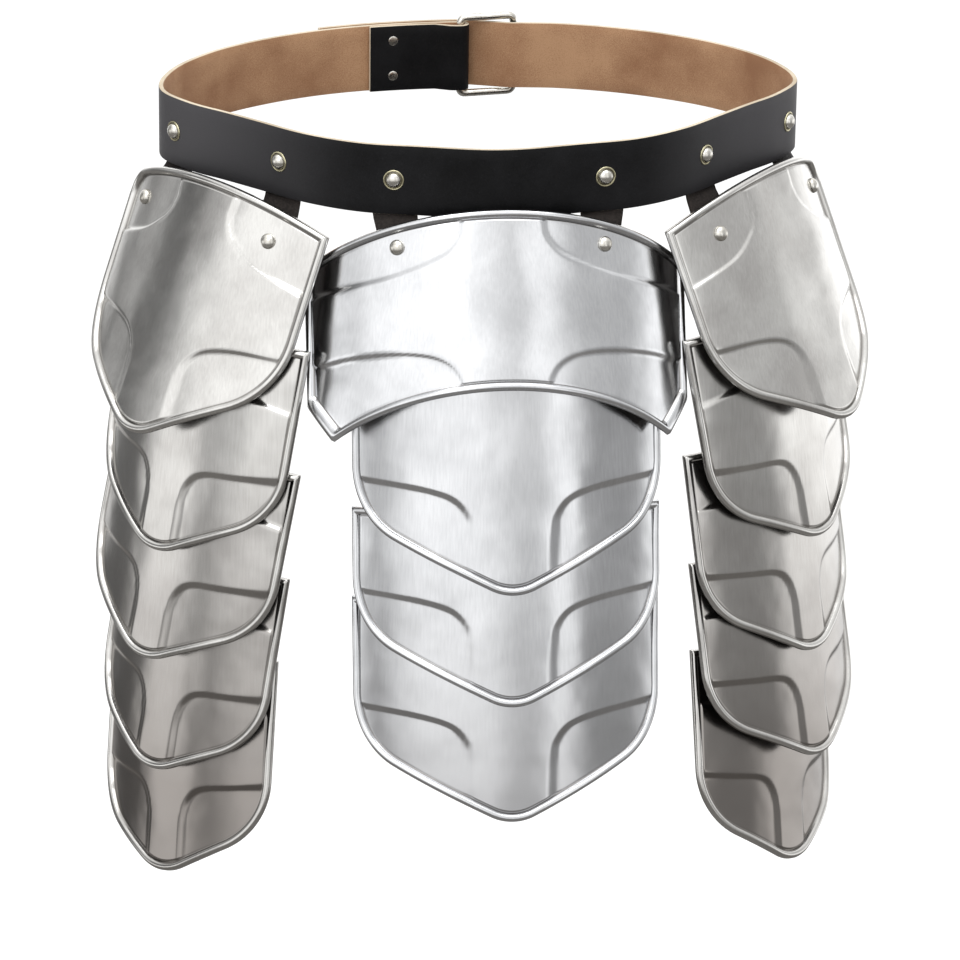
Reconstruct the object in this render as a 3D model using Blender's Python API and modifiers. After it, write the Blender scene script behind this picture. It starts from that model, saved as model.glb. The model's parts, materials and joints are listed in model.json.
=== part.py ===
"""Fauld: a black leather hip belt that carries a steel front apron and two steel tassets.

Units are metres, +Z is up and the front faces -Y. The origin is the centre of the belt's loop.
A plate is drawn flat as (across, down) from the middle of its top edge, then wrapped round an
upright cylinder whose front line passes through that point, and last placed by its matrix.
"""
import math

import bmesh
import bpy
import numpy as np
from mathutils import Matrix, Vector

COLLECTION = "fauld"

# Gaps between pieces that touch on the real object.
CLEARANCE = 0.0003
HOLE_CLEARANCE = 0.0003
# How far a hole's cutter runs past the outer face of what it cuts.
HOLE_REACH = 0.0015

# Belt.
BELT_HALF_WIDTH = 0.2045
BELT_HEIGHT = 0.0445
BELT_THICKNESS = 0.003
BELT_TILT = math.radians(7.7)
BELT_STEP = 0.027
# Plan of the belt's outer face: (degrees round from the front, share of the half width).
BELT_PLAN = (
    (0, 0.695), (20, 0.692), (35, 0.735), (50, 0.768), (62, 0.798), (72, 0.852),
    (81, 0.935), (90, 1.0), (102, 0.985), (116, 0.925), (132, 0.845), (150, 0.775),
    (166, 0.735), (180, 0.725),
)

# Back closure: the belt folds round the buckle's bar, and its other end lies outside.
BUCKLE_WIRE = 0.005
BUCKLE_LENGTH = 0.036
BUCKLE_MARGIN = 0.0012
PRONG_WIDTH = 0.0036
PRONG_SLOT = 0.0048
# The prong's bends, counted from the bar, and how far its tip runs past the frame.
PRONG_REACH = 0.0055
PRONG_RISE = 0.0110
PRONG_OVERHANG = 0.0040
# How deep the prong's tip rests in the frame's far side.
PRONG_SEAT = 0.0005
# The slot in the belt: its ends on both sides of the bar.
SLOT_BACK = 0.0115
SLOT_FRONT = 0.00125
FLAP_LENGTH = 0.062
# The belt's turn round the bar, in radii of that turn: where the fold begins to close, how near to a
# full turn it is there, and where the belt lies flat again.
FOLD_START = 1.5
FOLD_CLOSE = 1.86
FOLD_END = 2.4
# Stations of the inner flap from its end to the fold, as shares of its length; the second one
# carries the two rivets.
FLAP_STATIONS = (1.0, 0.74, 0.45)
FOLD_RIVET_UP = 0.012
TONGUE_LENGTH = 0.095
TONGUE_STANDOFF = 0.0052
# How far the tongue stands off where it leaves the buckle's far bar.
TONGUE_ENTRY = 0.0045
FOLD_GAP = 0.0007

# Hanger straps.
STRAP_WIDTH = 0.0285
STRAP_THICKNESS = 0.0025
STRAP_TOP_MARGIN = 0.004
# Half length of the flat stretch of a strap at a rivet.
STRAP_LANDING = 0.0065
# Room between a strap and the face of the plate or the burr that it lies on.
STRAP_ROOM = 0.0012
BURR_ROOM = 0.0003

# Steel.
SHEET = 0.0012
BEAD_WIDTH = 0.0054
BEAD_HEIGHT = 0.0036
# Height at which the bead's outer side turns under.
BEAD_EDGE = 0.0009
RELIEF = 0.0016
RELIEF_SLOPE = 0.006

# Rivets: visible domes, their ring washers, and the small rivets that the plates hide.
DOME_DIAMETER = 0.0096
DOME_HEIGHT = 0.0036
# The dome's shoulder, as shares of its radius and height.
DOME_SHOULDER = (0.82, 0.6)
WASHER_DIAMETER = 0.0130
WASHER_THICKNESS = 0.0010
SHANK_DIAMETER = 0.0040
BURR_DIAMETER = 0.0084
BURR_THICKNESS = 0.0012
SMALL_HEAD = 0.0076
SMALL_HEAD_HEIGHT = 0.0012
SMALL_SHANK = 0.0036
RIVET_SIDES = 8
SMALL_SIDES = 6

# Front plate.
FRONT_RADIUS = 0.140
FRONT_HALF_WIDTH = 0.1400
FRONT_HEIGHT = 0.112
FRONT_ARCH = 0.029
FRONT_FOOT_ARCH = 0.027
FRONT_CORNER = 0.022
FRONT_LEAN = math.radians(15.7)
FRONT_STANDOFF = 0.0052
FRONT_DROP = 0.0145
FRONT_RIVET_ACROSS = 0.067
FRONT_RIVET_DOWN = 0.021

# Front lames.
LAME_RADIUS = 0.141
LAME_HALF_WIDTH = 0.1055
LAME_POINT = 0.49
LAME_CORNER_RADIUS = 0.033
LAME_TIP_RADIUS = 0.022
LAME_LEAN = math.radians(6.0)
LAME_PITCH = 0.0748
LAME_BELOW_PLATE = 0.128
LAME_TUCK = 0.0115
LAME_SWAY = 0.0045
# How much further in each front lame hangs than the one above.
LAME_DRIFT = 0.0012
# Rows: (height above the reference line, rivet height above it), both as shares of the pitch,
# and how far the lame hangs below even spacing.
LAME_ROWS = ((1.26, 1.04, 0.0035), (0.86, 0.66, 0.0008), (1.08, 0.88, 0.0008))
LAME_DEPTH = 0.0600

# Side plates.
SIDE_ANGLE = 72.2
SIDE_FACING = math.radians(48.3)
SIDE_ROLL = math.radians(7.2)
SIDE_RADIUS = 0.163
SIDE_HALF_WIDTH = 0.0935
SIDE_HEIGHT = 0.1675
SIDE_ARCH = 0.012
SIDE_POINT = 0.60
SIDE_CORNER_RADIUS = 0.060
SIDE_TIP_RADIUS = 0.024
SIDE_REAR_RADIUS = 0.016
SIDE_LEAN = math.radians(18.3)
SIDE_STANDOFF = 0.0120
SIDE_DROP = 0.0183
SIDE_RIVET_DOWN = 0.026
SIDE_RIVET_FRONT = 0.056
SIDE_RIVET_REAR = 0.066

# Side lames.
TASSET_RADIUS = 0.146
TASSET_HALF_WIDTH = 0.086
TASSET_POINT = 0.53
TASSET_CORNER_RADIUS = 0.043
TASSET_TIP_RADIUS = 0.021
TASSET_LEAN = math.radians(7.5)
TASSET_PITCH = 0.0712
TASSET_DRIFT = 0.0075
TASSET_TUCK = 0.0235
TASSET_BELOW_PLATE = 0.0795
TASSET_FORWARD = 0.0120
TASSET_ABOVE = 0.062
TASSET_DEPTH = 0.0835
TASSET_RIVET_UP = 0.046
TASSET_STRAP_ACROSS = 0.053
# Side lames, top to bottom, as they hang on their straps. Rows: (share of the half width, share of
# the height above the reference line, degrees that the lower end leans out to the side, how far it
# sways towards +X, how far it hangs below even spacing).
TASSET_ROWS = {
    "left": ((0.995, 1.08, 7.2, 0.0030, 0.0), (1.01, 1.0, 8.5, -0.0040, 0.0015),
             (0.910, 1.0, 6.2, -0.0015, 0.0050), (0.90, 1.0, -2.0, -0.0030, 0.0022)),
    "right": ((0.990, 1.12, 7.2, -0.0046, 0.0), (1.03, 1.0, 2.0, -0.0030, 0.0048),
              (1.030, 1.0, 2.0, 0.0025, 0.0058), (0.92, 1.0, -5.0, -0.0073, 0.0056)),
}

# Angles round the belt of its rivets, from the front.
BELT_RIVET_FRONT = 27.0
BELT_RIVET_SIDE = 57.0
BELT_RIVET_REAR = 84.5

# Step lines of the embossing on a half plate, from the middle outwards:
# (share of the half width, share of the plate's height below its top middle).
FRONT_UPPER_STEP = ((0.175, 0.0), (0.185, 0.14), (0.24, 0.25), (0.45, 0.34), (0.70, 0.40), (1.0, 0.45))
FRONT_LOWER_STEP = ((0.180, 1.0), (0.185, 0.93), (0.24, 0.84), (0.36, 0.785), (0.70, 0.77), (1.0, 0.82))
SIDE_UPPER_STEP = ((0.25, 0.0), (0.25, 0.10), (0.34, 0.21), (0.56, 0.28), (1.0, 0.32))
SIDE_LOWER_STEP = ((0.24, 1.0), (0.23, 0.74), (0.29, 0.66), (0.42, 0.60), (0.65, 0.565), (1.0, 0.55))
LAME_LOWER_STEP = ((0.235, 1.0), (0.24, 0.62), (0.32, 0.53), (0.56, 0.47), (1.0, 0.44))
TASSET_LOWER_STEP = ((0.155, 1.0), (0.16, 0.73), (0.21, 0.63), (0.33, 0.585), (0.60, 0.565), (1.0, 0.54))

MATERIALS = {
    "polished_steel": ((0.60, 0.60, 0.60, 1.0), 1.0, 0.28),
    "belt_leather": ((0.020, 0.020, 0.022, 1.0), 0.0, 0.55),
    "strap_leather": ((0.030, 0.027, 0.026, 1.0), 0.0, 0.75),
    "rivet_steel": ((0.68, 0.67, 0.64, 1.0), 1.0, 0.25),
    "buckle_steel": ((0.55, 0.55, 0.55, 1.0), 1.0, 0.30),
}


def clear_scene():
    """Remove what the file holds."""
    for item in list(bpy.data.objects):
        bpy.data.objects.remove(item, do_unlink=True)


def make_collection(name):
    """Return a new collection linked to the scene."""
    made = bpy.data.collections.new(name)
    bpy.context.scene.collection.children.link(made)
    return made


def make_material(name):
    """Return a Principled material with the colour, metal and roughness of the table."""
    color, metallic, roughness = MATERIALS[name]
    material = bpy.data.materials.new(name)
    material.use_nodes = True
    shader = material.node_tree.nodes["Principled BSDF"]
    shader.inputs["Base Color"].default_value = color
    shader.inputs["Metallic"].default_value = metallic
    shader.inputs["Roughness"].default_value = roughness
    return material


def link_mesh(name, mesh, collection, material, matrix=None, crease=35.0):
    """Make a shaded object from a mesh."""
    made = bpy.data.objects.new(name, mesh)
    if matrix is not None:
        made.matrix_world = matrix
    if material is not None:
        mesh.materials.append(material)
    mesh.shade_smooth()
    mesh.set_sharp_from_angle(angle=math.radians(crease))
    collection.objects.link(made)
    return made


def smooth_table(table, x):
    """Read a table of (place, value) rows with a smooth curve that is level at both ends."""
    places = [row[0] for row in table]
    values = [row[1] for row in table]
    slopes = [0.0]
    for before, after in zip(range(len(table) - 2), range(2, len(table))):
        slopes.append((values[after] - values[before]) / (places[after] - places[before]))
    slopes.append(0.0)
    i = max(0, min(len(table) - 2, int(np.searchsorted(places, x, side="right")) - 1))
    span = places[i + 1] - places[i]
    t = (x - places[i]) / span
    return ((2 * t**3 - 3 * t**2 + 1) * values[i] + (t**3 - 2 * t**2 + t) * span * slopes[i]
            + (3 * t**2 - 2 * t**3) * values[i + 1] + (t**3 - t**2) * span * slopes[i + 1])


class BeltPath:
    """The closed plan line of the belt's outer face, read by angle or by length from the back."""

    SAMPLES = 720

    def __init__(self):
        self.tilt = Matrix.Rotation(BELT_TILT, 4, "X")
        self.angles = np.linspace(-180.0, 180.0, self.SAMPLES + 1)
        radii = np.array([smooth_table(BELT_PLAN, abs(a)) for a in self.angles]) * BELT_HALF_WIDTH
        turns = np.radians(self.angles)
        self.plan = np.stack([radii * np.sin(turns), -radii * np.cos(turns)], axis=1)
        steps = np.linalg.norm(np.diff(self.plan, axis=0), axis=1)
        self.run = np.concatenate([[0.0], np.cumsum(steps)])
        self.length = float(self.run[-1])

    def place(self, run, outward=0.0, up=0.0):
        """Return the point at a length along the loop, moved off its outer face and up."""
        run = run % self.length
        point = np.array([np.interp(run, self.run, self.plan[:, k]) for k in (0, 1)])
        normal = self.normal(run)
        return self.tilt @ Vector((point[0] + normal[0] * outward, point[1] + normal[1] * outward, up))

    def normal(self, run):
        """Return the plan normal, pointing out."""
        reach = self.length / self.SAMPLES * 3
        ahead = [np.interp((run + reach) % self.length, self.run, self.plan[:, k]) for k in (0, 1)]
        behind = [np.interp((run - reach) % self.length, self.run, self.plan[:, k]) for k in (0, 1)]
        tangent = np.array(ahead) - np.array(behind)
        tangent /= np.linalg.norm(tangent)
        return np.array([tangent[1], -tangent[0]])

    def run_at(self, angle):
        """Return the length along the loop at an angle from the front."""
        return float(np.interp(angle, self.angles, self.run))

    def frame(self, run, outward=0.0, up=0.0):
        """Return a matrix at a point of the loop: X along, -Y outwards, Z up."""
        normal = self.normal(run)
        out = self.tilt.to_3x3() @ Vector((normal[0], normal[1], 0.0))
        rise = self.tilt.to_3x3() @ Vector((0.0, 0.0, 1.0))
        along = rise.cross(out)
        matrix = Matrix((along, -out, rise)).transposed().to_4x4()
        matrix.translation = self.place(run, outward, up)
        return matrix


class Outline:
    """A flat plate outline: top arch, straight sides and a rounded point or an arched foot."""

    def __init__(self, half_width, above, depth, arch, slope, corner, tip, rear=0.0, front_sign=1):
        self.half_width = half_width
        self.above = above
        self.depth = depth
        self.arch = arch
        self.slope = slope
        self.corner = corner
        self.tip = tip
        self.rear = rear
        self.front_sign = front_sign

    def top(self, share, inset):
        """Return a point of the top edge at a share of the half width."""
        width = self.half_width - inset
        across = share * width
        level = self.above - inset - self.arch * (across / self.half_width) ** 2
        radius = max(self.rear - inset, 0.0)
        past = abs(across) - (width - radius)
        if radius and share * self.front_sign < 0 and past > 0:
            level -= radius - math.sqrt(max(radius**2 - past**2, 0.0))
        return across, level

    def bottom(self, share, inset):
        """Return a point of the rounded V below: arcs at the corners and at the tip."""
        beta = math.atan(self.slope)
        width = self.half_width - inset
        corner = self.corner - inset
        tip = self.tip - inset
        apex = -self.depth - self.tip * (1 / math.cos(beta) - 1) + inset / math.cos(beta)
        centre = (width - corner, apex + self.slope * (width - corner) + corner / math.cos(beta))
        side = -1 if share < 0 else 1
        share = abs(share)
        corner_part, tip_part = 0.50, 0.17
        if share > 1 - corner_part:
            turn = (1 - share) / corner_part * (math.pi / 2 - beta)
            return side * (centre[0] + corner * math.cos(turn)), centre[1] - corner * math.sin(turn)
        if share < tip_part:
            turn = share / tip_part * beta
            return side * tip * math.sin(turn), apex + tip / math.cos(beta) - tip * math.cos(turn)
        start = tip * math.sin(beta)
        end = centre[0] + corner * math.sin(beta)
        across = start + (end - start) * (share - tip_part) / (1 - corner_part - tip_part)
        return side * across, apex + self.slope * across


class ArchOutline(Outline):
    """The front plate's outline: both edges arch up, and the lower corners are cut off."""

    def __init__(self, foot_arch, cut, **sizes):
        super().__init__(slope=0.0, corner=0.0, tip=0.0, **sizes)
        self.foot_arch = foot_arch
        self.cut = cut

    def bottom(self, share, inset):
        """Return a point of the arched foot, with its cut corners as the last stretch."""
        side = -1 if share < 0 else 1
        share = abs(share)
        width = self.half_width - inset
        cut = self.cut
        foot = width - cut
        straight = 0.80
        across = min(share / straight, 1.0) * foot
        level = -self.depth + inset - self.foot_arch * (across / (self.half_width - cut)) ** 2
        if share > straight:
            past = (share - straight) / (1 - straight)
            across = foot + cut * past
            level += cut * past
        return side * across, level


def step_distance(table, half_width, top, height, across, level):
    """Return how far a point is from a step line, above it or outside of its upright part."""
    nearest = None
    points = [(row[0] * half_width, top - row[1] * height) for row in table]
    for (x0, y0), (x1, y1) in zip(points, points[1:]):
        run = (x1 - x0) ** 2 + (y1 - y0) ** 2
        t = max(0.0, min(1.0, ((across - x0) * (x1 - x0) + (level - y0) * (y1 - y0)) / run))
        gap = math.hypot(across - x0 - t * (x1 - x0), level - y0 - t * (y1 - y0))
        nearest = gap if nearest is None else min(nearest, gap)
    return nearest


def relief_height(steps, half_width, top, height, across, level):
    """Return the embossed height: full on the cross-shaped band, none in the corner panels."""
    across = abs(across)
    for table, sign in steps:
        points = [(row[0] * half_width, top - row[1] * height) for row in table]
        line = float(np.interp(across, [p[0] for p in points], [p[1] for p in points]))
        beyond = (level - line) * sign > 0 and across > points[0][0]
        gap = step_distance(table, half_width, top, height, across, level)
        if beyond:
            return max(0.0, 1.0 - gap / RELIEF_SLOPE)
    return 1.0


def wrap(radius, across, level, height):
    """Bend a flat point onto the upright cylinder that touches the origin."""
    turn = across / radius
    reach = radius + height
    return Vector((reach * math.sin(turn), radius - reach * math.cos(turn), level))


class PlateShape:
    """A sheet with a rolled bead all round and an embossed cross band."""

    def __init__(self, outline, radius, columns, rows, steps):
        self.outline = outline
        self.radius = radius
        self.columns = columns
        self.rows = rows
        self.steps = steps

    def surface(self, across, level, height=0.0):
        """Return the local point on the outer face."""
        return wrap(self.radius, across, level, height)

    def relief(self, across, level):
        """Return the embossed height at a flat point."""
        o = self.outline
        share = relief_height(self.steps, o.half_width, o.above, o.above + o.depth, across, level)
        return RELIEF * share

    def flat(self, share, row, inset):
        """Return the flat point of a grid place, ruled between the foot and the top edge."""
        low = self.outline.bottom(share, inset)
        high = self.outline.top(share, inset)
        return low[0] + (high[0] - low[0]) * row, low[1] + (high[1] - low[1]) * row

    def build(self):
        """Return the open outer surface as a mesh."""
        bm = bmesh.new()
        bmesh.ops.create_grid(bm, x_segments=self.columns, y_segments=self.rows, size=1.0)
        places = {}
        for vert in bm.verts:
            places[vert] = (vert.co.x, (vert.co.y + 1) / 2)
            vert.co = Vector((*self.flat(*places[vert], BEAD_WIDTH), 0.0))
        ring = [edge for edge in bm.edges if edge.is_boundary]
        rings = []
        for inset, height in ((BEAD_WIDTH / 2, BEAD_HEIGHT), (0.0, BEAD_EDGE)):
            made = bmesh.ops.extrude_edge_only(bm, edges=ring)
            verts = [item for item in made["geom"] if isinstance(item, bmesh.types.BMVert)]
            ring = [item for item in made["geom"] if isinstance(item, bmesh.types.BMEdge)]
            rings.append((verts, inset, height))
        for verts, inset, height in rings:
            for vert in verts:
                place = self.nearest_place(vert.co, places)
                flat = self.flat(*place, inset)
                vert.co = Vector((flat[0], flat[1], height))
        for vert in places:
            vert.co.z = self.relief(vert.co.x, vert.co.y)
        for vert in bm.verts:
            vert.co = self.surface(vert.co.x, vert.co.y, vert.co.z)
        bmesh.ops.recalc_face_normals(bm, faces=bm.faces)
        middle = min(bm.faces, key=lambda face: face.calc_center_median().y)
        if middle.normal.y > 0:
            bmesh.ops.reverse_faces(bm, faces=bm.faces)
        mesh = bpy.data.meshes.new("sheet")
        bm.to_mesh(mesh)
        bm.free()
        return mesh

    @staticmethod
    def nearest_place(point, places):
        """Return the grid place whose flat point is at this one."""
        vert = min(places, key=lambda v: (v.co.x - point.x) ** 2 + (v.co.y - point.y) ** 2)
        return places[vert]


def add_solidify(item, thickness, offset=-1.0):
    """Give a sheet its thickness on the inner side."""
    modifier = item.modifiers.new("Thickness", "SOLIDIFY")
    modifier.thickness = thickness
    modifier.offset = offset
    modifier.use_even_offset = True
    return modifier


def add_cut(item, cutter):
    """Cut a hole with an exact Boolean."""
    modifier = item.modifiers.new("Cut", "BOOLEAN")
    modifier.operation = "DIFFERENCE"
    modifier.solver = "EXACT"
    modifier.object = cutter


def closed_mesh(bm, name):
    """Return a closed bmesh as a mesh whose faces point out, and free it."""
    bmesh.ops.remove_doubles(bm, verts=bm.verts, dist=0.00001)
    bm.normal_update()
    bmesh.ops.recalc_face_normals(bm, faces=bm.faces)
    if bm.calc_volume(signed=True) < 0:
        bmesh.ops.reverse_faces(bm, faces=bm.faces)
    mesh = bpy.data.meshes.new(name)
    bm.to_mesh(mesh)
    bm.free()
    return mesh


def turned_mesh(profile, sides):
    """Return a closed turned mesh about local Y from (radius, place along Y) rows."""
    bm = bmesh.new()
    verts = [bm.verts.new((radius, along, 0.0)) for radius, along in profile]
    edges = [bm.edges.new(pair) for pair in zip(verts, verts[1:])]
    bmesh.ops.spin(bm, geom=verts + edges, cent=(0, 0, 0), axis=(0, 1, 0), angle=2 * math.pi,
                   steps=sides, use_merge=True)
    return closed_mesh(bm, "turned")


def cylinder_mesh(radius, start, end, sides):
    """Return a closed cylinder about local Y."""
    return turned_mesh(((0.0, start), (radius, start), (radius, end), (0.0, end)), sides)


class Fauld:
    """Builds the whole object, piece by piece."""

    def __init__(self):
        self.parts = make_collection(COLLECTION)
        self.cutters = make_collection(COLLECTION + "_cutters")
        self.materials = {name: make_material(name) for name in MATERIALS}
        self.path = BeltPath()
        self.sheets = {}
        self.matrices = {}
        self.shapes = {}

    def cutter(self, name, mesh, matrix):
        """Add a hidden cutter."""
        made = link_mesh(name, mesh, self.cutters, None, matrix)
        made.hide_render = True
        made.display_type = "WIRE"
        return made

    def plate(self, name, shape, matrix):
        """Add one steel plate."""
        made = link_mesh(name, shape.build(), self.parts, self.materials["polished_steel"], matrix)
        add_solidify(made, SHEET)
        self.sheets[name] = made
        self.matrices[name] = matrix
        self.shapes[name] = shape
        return made

    def seat(self, name, across, level):
        """Return the matrix of a rivet place on a plate: origin on its outer face, -Y outwards."""
        shape = self.shapes[name]
        height = shape.relief(across, level)
        local = Matrix.Translation(shape.surface(across, level, height))
        turned = local @ Matrix.Rotation(across / shape.radius, 4, "Z")
        return self.matrices[name] @ turned

    def side_frame(self, sign):
        """Return the group frame of a side: origin on the belt's outer face, -Y outwards."""
        anchor = self.path.place(self.path.run_at(sign * SIDE_ANGLE))
        return Matrix.Translation(anchor) @ Matrix.Rotation(sign * SIDE_FACING, 4, "Z")

    def build_front(self):
        """Add the front plate and its three lames."""
        anchor = Matrix.Translation(self.path.place(self.path.run_at(0.0)))
        lean = Matrix.Rotation(-FRONT_LEAN, 4, "X")
        outline = ArchOutline(FRONT_FOOT_ARCH, FRONT_CORNER, half_width=FRONT_HALF_WIDTH, above=0.0,
                              depth=FRONT_HEIGHT, arch=FRONT_ARCH)
        shape = PlateShape(outline, FRONT_RADIUS, 12, 5, ((FRONT_UPPER_STEP, 1), (FRONT_LOWER_STEP, -1)))
        top = anchor @ Matrix.Translation((0.0, -FRONT_STANDOFF, -FRONT_DROP))
        self.plate("front_plate", shape, top @ lean)
        foot = top @ lean @ Matrix.Translation((0.0, 0.0, -FRONT_HEIGHT))
        for row, (above, _, sink) in enumerate(LAME_ROWS):
            outline = Outline(LAME_HALF_WIDTH, above * LAME_PITCH, LAME_DEPTH, 0.0, LAME_POINT,
                              LAME_CORNER_RADIUS, LAME_TIP_RADIUS)
            shape = PlateShape(outline, LAME_RADIUS, 8, 3, ((LAME_LOWER_STEP, -1),))
            drop = LAME_BELOW_PLATE - LAME_DEPTH + row * LAME_PITCH + sink
            place = Matrix.Translation(foot.translation + Vector((LAME_SWAY, LAME_TUCK + row * LAME_DRIFT, -drop)))
            self.plate(f"front_lame_{row + 1}", shape, place @ Matrix.Rotation(-LAME_LEAN, 4, "X"))

    def build_side(self, word, sign):
        """Add one tasset: its large top plate and four lames."""
        frame = self.side_frame(sign)
        roll = Matrix.Rotation(-sign * SIDE_ROLL, 4, "Y")
        top = frame @ Matrix.Translation((0.0, -SIDE_STANDOFF, -SIDE_DROP))
        lean = Matrix.Rotation(-SIDE_LEAN, 4, "X")
        outline = Outline(SIDE_HALF_WIDTH, 0.0, SIDE_HEIGHT, SIDE_ARCH, SIDE_POINT, SIDE_CORNER_RADIUS,
                          SIDE_TIP_RADIUS, SIDE_REAR_RADIUS, -sign)
        shape = PlateShape(outline, SIDE_RADIUS, 10, 5, ((SIDE_UPPER_STEP, 1), (SIDE_LOWER_STEP, -1)))
        self.plate(f"{word}_plate", shape, top @ lean @ roll)
        foot = top @ lean @ roll @ Matrix.Translation((0.0, 0.0, -SIDE_HEIGHT))
        turn = Matrix.Rotation(sign * SIDE_FACING, 4, "Z")
        for row, (taper, above, lean_out, sway, sink) in enumerate(TASSET_ROWS[word]):
            outline = Outline(TASSET_HALF_WIDTH * taper, TASSET_ABOVE * above, TASSET_DEPTH, 0.0,
                              TASSET_POINT, TASSET_CORNER_RADIUS, TASSET_TIP_RADIUS, 0.0, -sign)
            shape = PlateShape(outline, TASSET_RADIUS, 8, 3, ((TASSET_LOWER_STEP, -1),))
            inward = turn @ Vector((-sign * TASSET_FORWARD, TASSET_TUCK, 0.0))
            below = TASSET_BELOW_PLATE - TASSET_DEPTH + row * TASSET_PITCH + sink
            hung = Vector((sway, row * TASSET_DRIFT, -below))
            place = Matrix.Translation(foot.translation + inward + hung)
            rolled = Matrix.Rotation(-sign * math.radians(lean_out), 4, "Y")
            name = f"{word}_lame_{row + 1}"
            self.plate(name, shape, place @ turn @ Matrix.Rotation(-TASSET_LEAN, 4, "X") @ rolled)

    def ribbon(self, name, rows, thickness, material):
        """Add a strap from rows of points across its middle, first row on top, seen from outside."""
        bm = bmesh.new()
        columns = len(rows[0])
        bmesh.ops.create_grid(bm, x_segments=columns - 1, y_segments=len(rows) - 1, size=1.0)
        for vert in bm.verts:
            row = round((1 - vert.co.y) / 2 * (len(rows) - 1))
            column = round((vert.co.x + 1) / 2 * (columns - 1))
            vert.co = rows[row][column]
        bm.normal_update()
        mesh = bpy.data.meshes.new(name)
        bm.to_mesh(mesh)
        bm.free()
        made = link_mesh(name, mesh, self.parts, self.materials[material], crease=50.0)
        add_solidify(made, thickness, 0.0)
        return made

    def belt_course(self):
        """Return (length along the loop, distance out of the base line) rows of the belt's middle.

        The base line is the middle of the belt's thickness where it goes round the hips. The course
        starts at the end of the inner flap, turns round the buckle's bar at the middle of the back,
        goes once round, and ends at the tip of the tongue that lies outside.
        """
        half = BELT_THICKNESS / 2
        bend = BUCKLE_WIRE / 2 + FOLD_GAP + half
        inner = -(BELT_THICKNESS + FOLD_GAP)
        rows = [(FLAP_LENGTH * share, inner) for share in FLAP_STATIONS]
        rows.append((bend * FOLD_START, -bend * FOLD_CLOSE))
        for turn in (90, 135, 180, 225, 270):
            angle = math.radians(turn)
            rows.append((bend * math.cos(angle), -bend - bend * math.sin(angle)))
        rows.append((bend * FOLD_END, 0.0))
        stops = [bend * FOLD_END, self.path.length - BUCKLE_LENGTH - BELT_STEP]
        stops += [FLAP_LENGTH * share for share in FLAP_STATIONS]
        for angle in (BELT_RIVET_FRONT, BELT_RIVET_SIDE, BELT_RIVET_REAR):
            for sign in (-1, 1):
                middle = self.path.run_at(sign * angle)
                stops += [middle - STRAP_WIDTH / 2, middle, middle + STRAP_WIDTH / 2]
        stops.sort()
        for before, after in zip(stops, stops[1:]):
            count = max(1, math.ceil((after - before) / BELT_STEP))
            rows += [(before + (after - before) * (i + 1) / count, 0.0) for i in range(count)]
        far = self.path.length - BUCKLE_LENGTH
        near = self.path.length
        rows.append((far - BUCKLE_WIRE, -half))
        rows.append((far + BUCKLE_WIRE, -half))
        rows.append((near - BUCKLE_WIRE, TONGUE_ENTRY))
        steps = max(3, round(TONGUE_LENGTH / BELT_STEP))
        rows += [(near + BUCKLE_WIRE + (TONGUE_LENGTH - BUCKLE_WIRE) * i / steps, TONGUE_STANDOFF)
                 for i in range(steps + 1)]
        return rows

    def build_belt(self):
        """Add the belt: one strip that folds round the buckle's bar and overlaps itself outside."""
        half = BELT_THICKNESS / 2
        course = self.belt_course()
        bm = bmesh.new()
        bmesh.ops.create_grid(bm, x_segments=len(course) - 1, y_segments=1, size=1.0)
        for vert in bm.verts:
            run, out = course[round((vert.co.x + 1) / 2 * (len(course) - 1))]
            vert.co = self.path.place(run, out - half, vert.co.y * BELT_HEIGHT / 2)
        bm.normal_update()
        mesh = bpy.data.meshes.new("belt")
        bm.to_mesh(mesh)
        bm.free()
        self.belt = link_mesh("belt", mesh, self.parts, self.materials["belt_leather"], crease=50.0)
        add_solidify(self.belt, BELT_THICKNESS, 0.0)

    def build_buckle(self):
        """Add the plain buckle: a wire frame with its prong joined to the bar."""
        half = BELT_THICKNESS / 2
        bend = BUCKLE_WIRE / 2 + FOLD_GAP + half
        rise = BELT_HEIGHT / 2 + BUCKLE_MARGIN + BUCKLE_WIRE / 2
        bar_out = -bend - half
        far_out = 2 * FOLD_GAP + BUCKLE_WIRE / 2 - half
        corners = ((0.0, bar_out, -rise), (0.0, bar_out, rise),
                   (-BUCKLE_LENGTH, far_out, rise), (-BUCKLE_LENGTH, far_out, -rise))
        frame = self.wire("buckle", [self.path.place(*c) for c in corners], BUCKLE_WIRE, True)
        top = far_out + BUCKLE_WIRE / 2 + PRONG_WIDTH / 2 - PRONG_SEAT
        prong = ((0.0, bar_out, 0.0), (-PRONG_REACH, TONGUE_STANDOFF, 0.0),
                 (-PRONG_RISE, TONGUE_STANDOFF + half + PRONG_WIDTH / 2, 0.0),
                 (-BUCKLE_LENGTH, top, 0.0), (-BUCKLE_LENGTH - PRONG_OVERHANG, top, 0.0))
        pin = self.wire("prong", [self.path.place(*c) for c in prong], PRONG_WIDTH, False)
        self.parts.objects.unlink(pin)
        self.cutters.objects.link(pin)
        pin.hide_render = True
        pin.display_type = "WIRE"
        modifier = frame.modifiers.new("Prong", "BOOLEAN")
        modifier.operation = "UNION"
        modifier.solver = "EXACT"
        modifier.object = pin
        bm = bmesh.new()
        bmesh.ops.create_cube(bm, size=1.0)
        floor, roof = bar_out - half, TONGUE_STANDOFF + 2 * BELT_THICKNESS
        for vert in bm.verts:
            run = (SLOT_BACK + SLOT_FRONT) * (vert.co.x + 0.5) - SLOT_BACK
            out = floor + (roof - floor) * (vert.co.y + 0.5)
            vert.co = self.path.place(run, out, vert.co.z * PRONG_SLOT)
        add_cut(self.belt, self.cutter("prong_slot", closed_mesh(bm, "prong_slot"), Matrix()))

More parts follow.
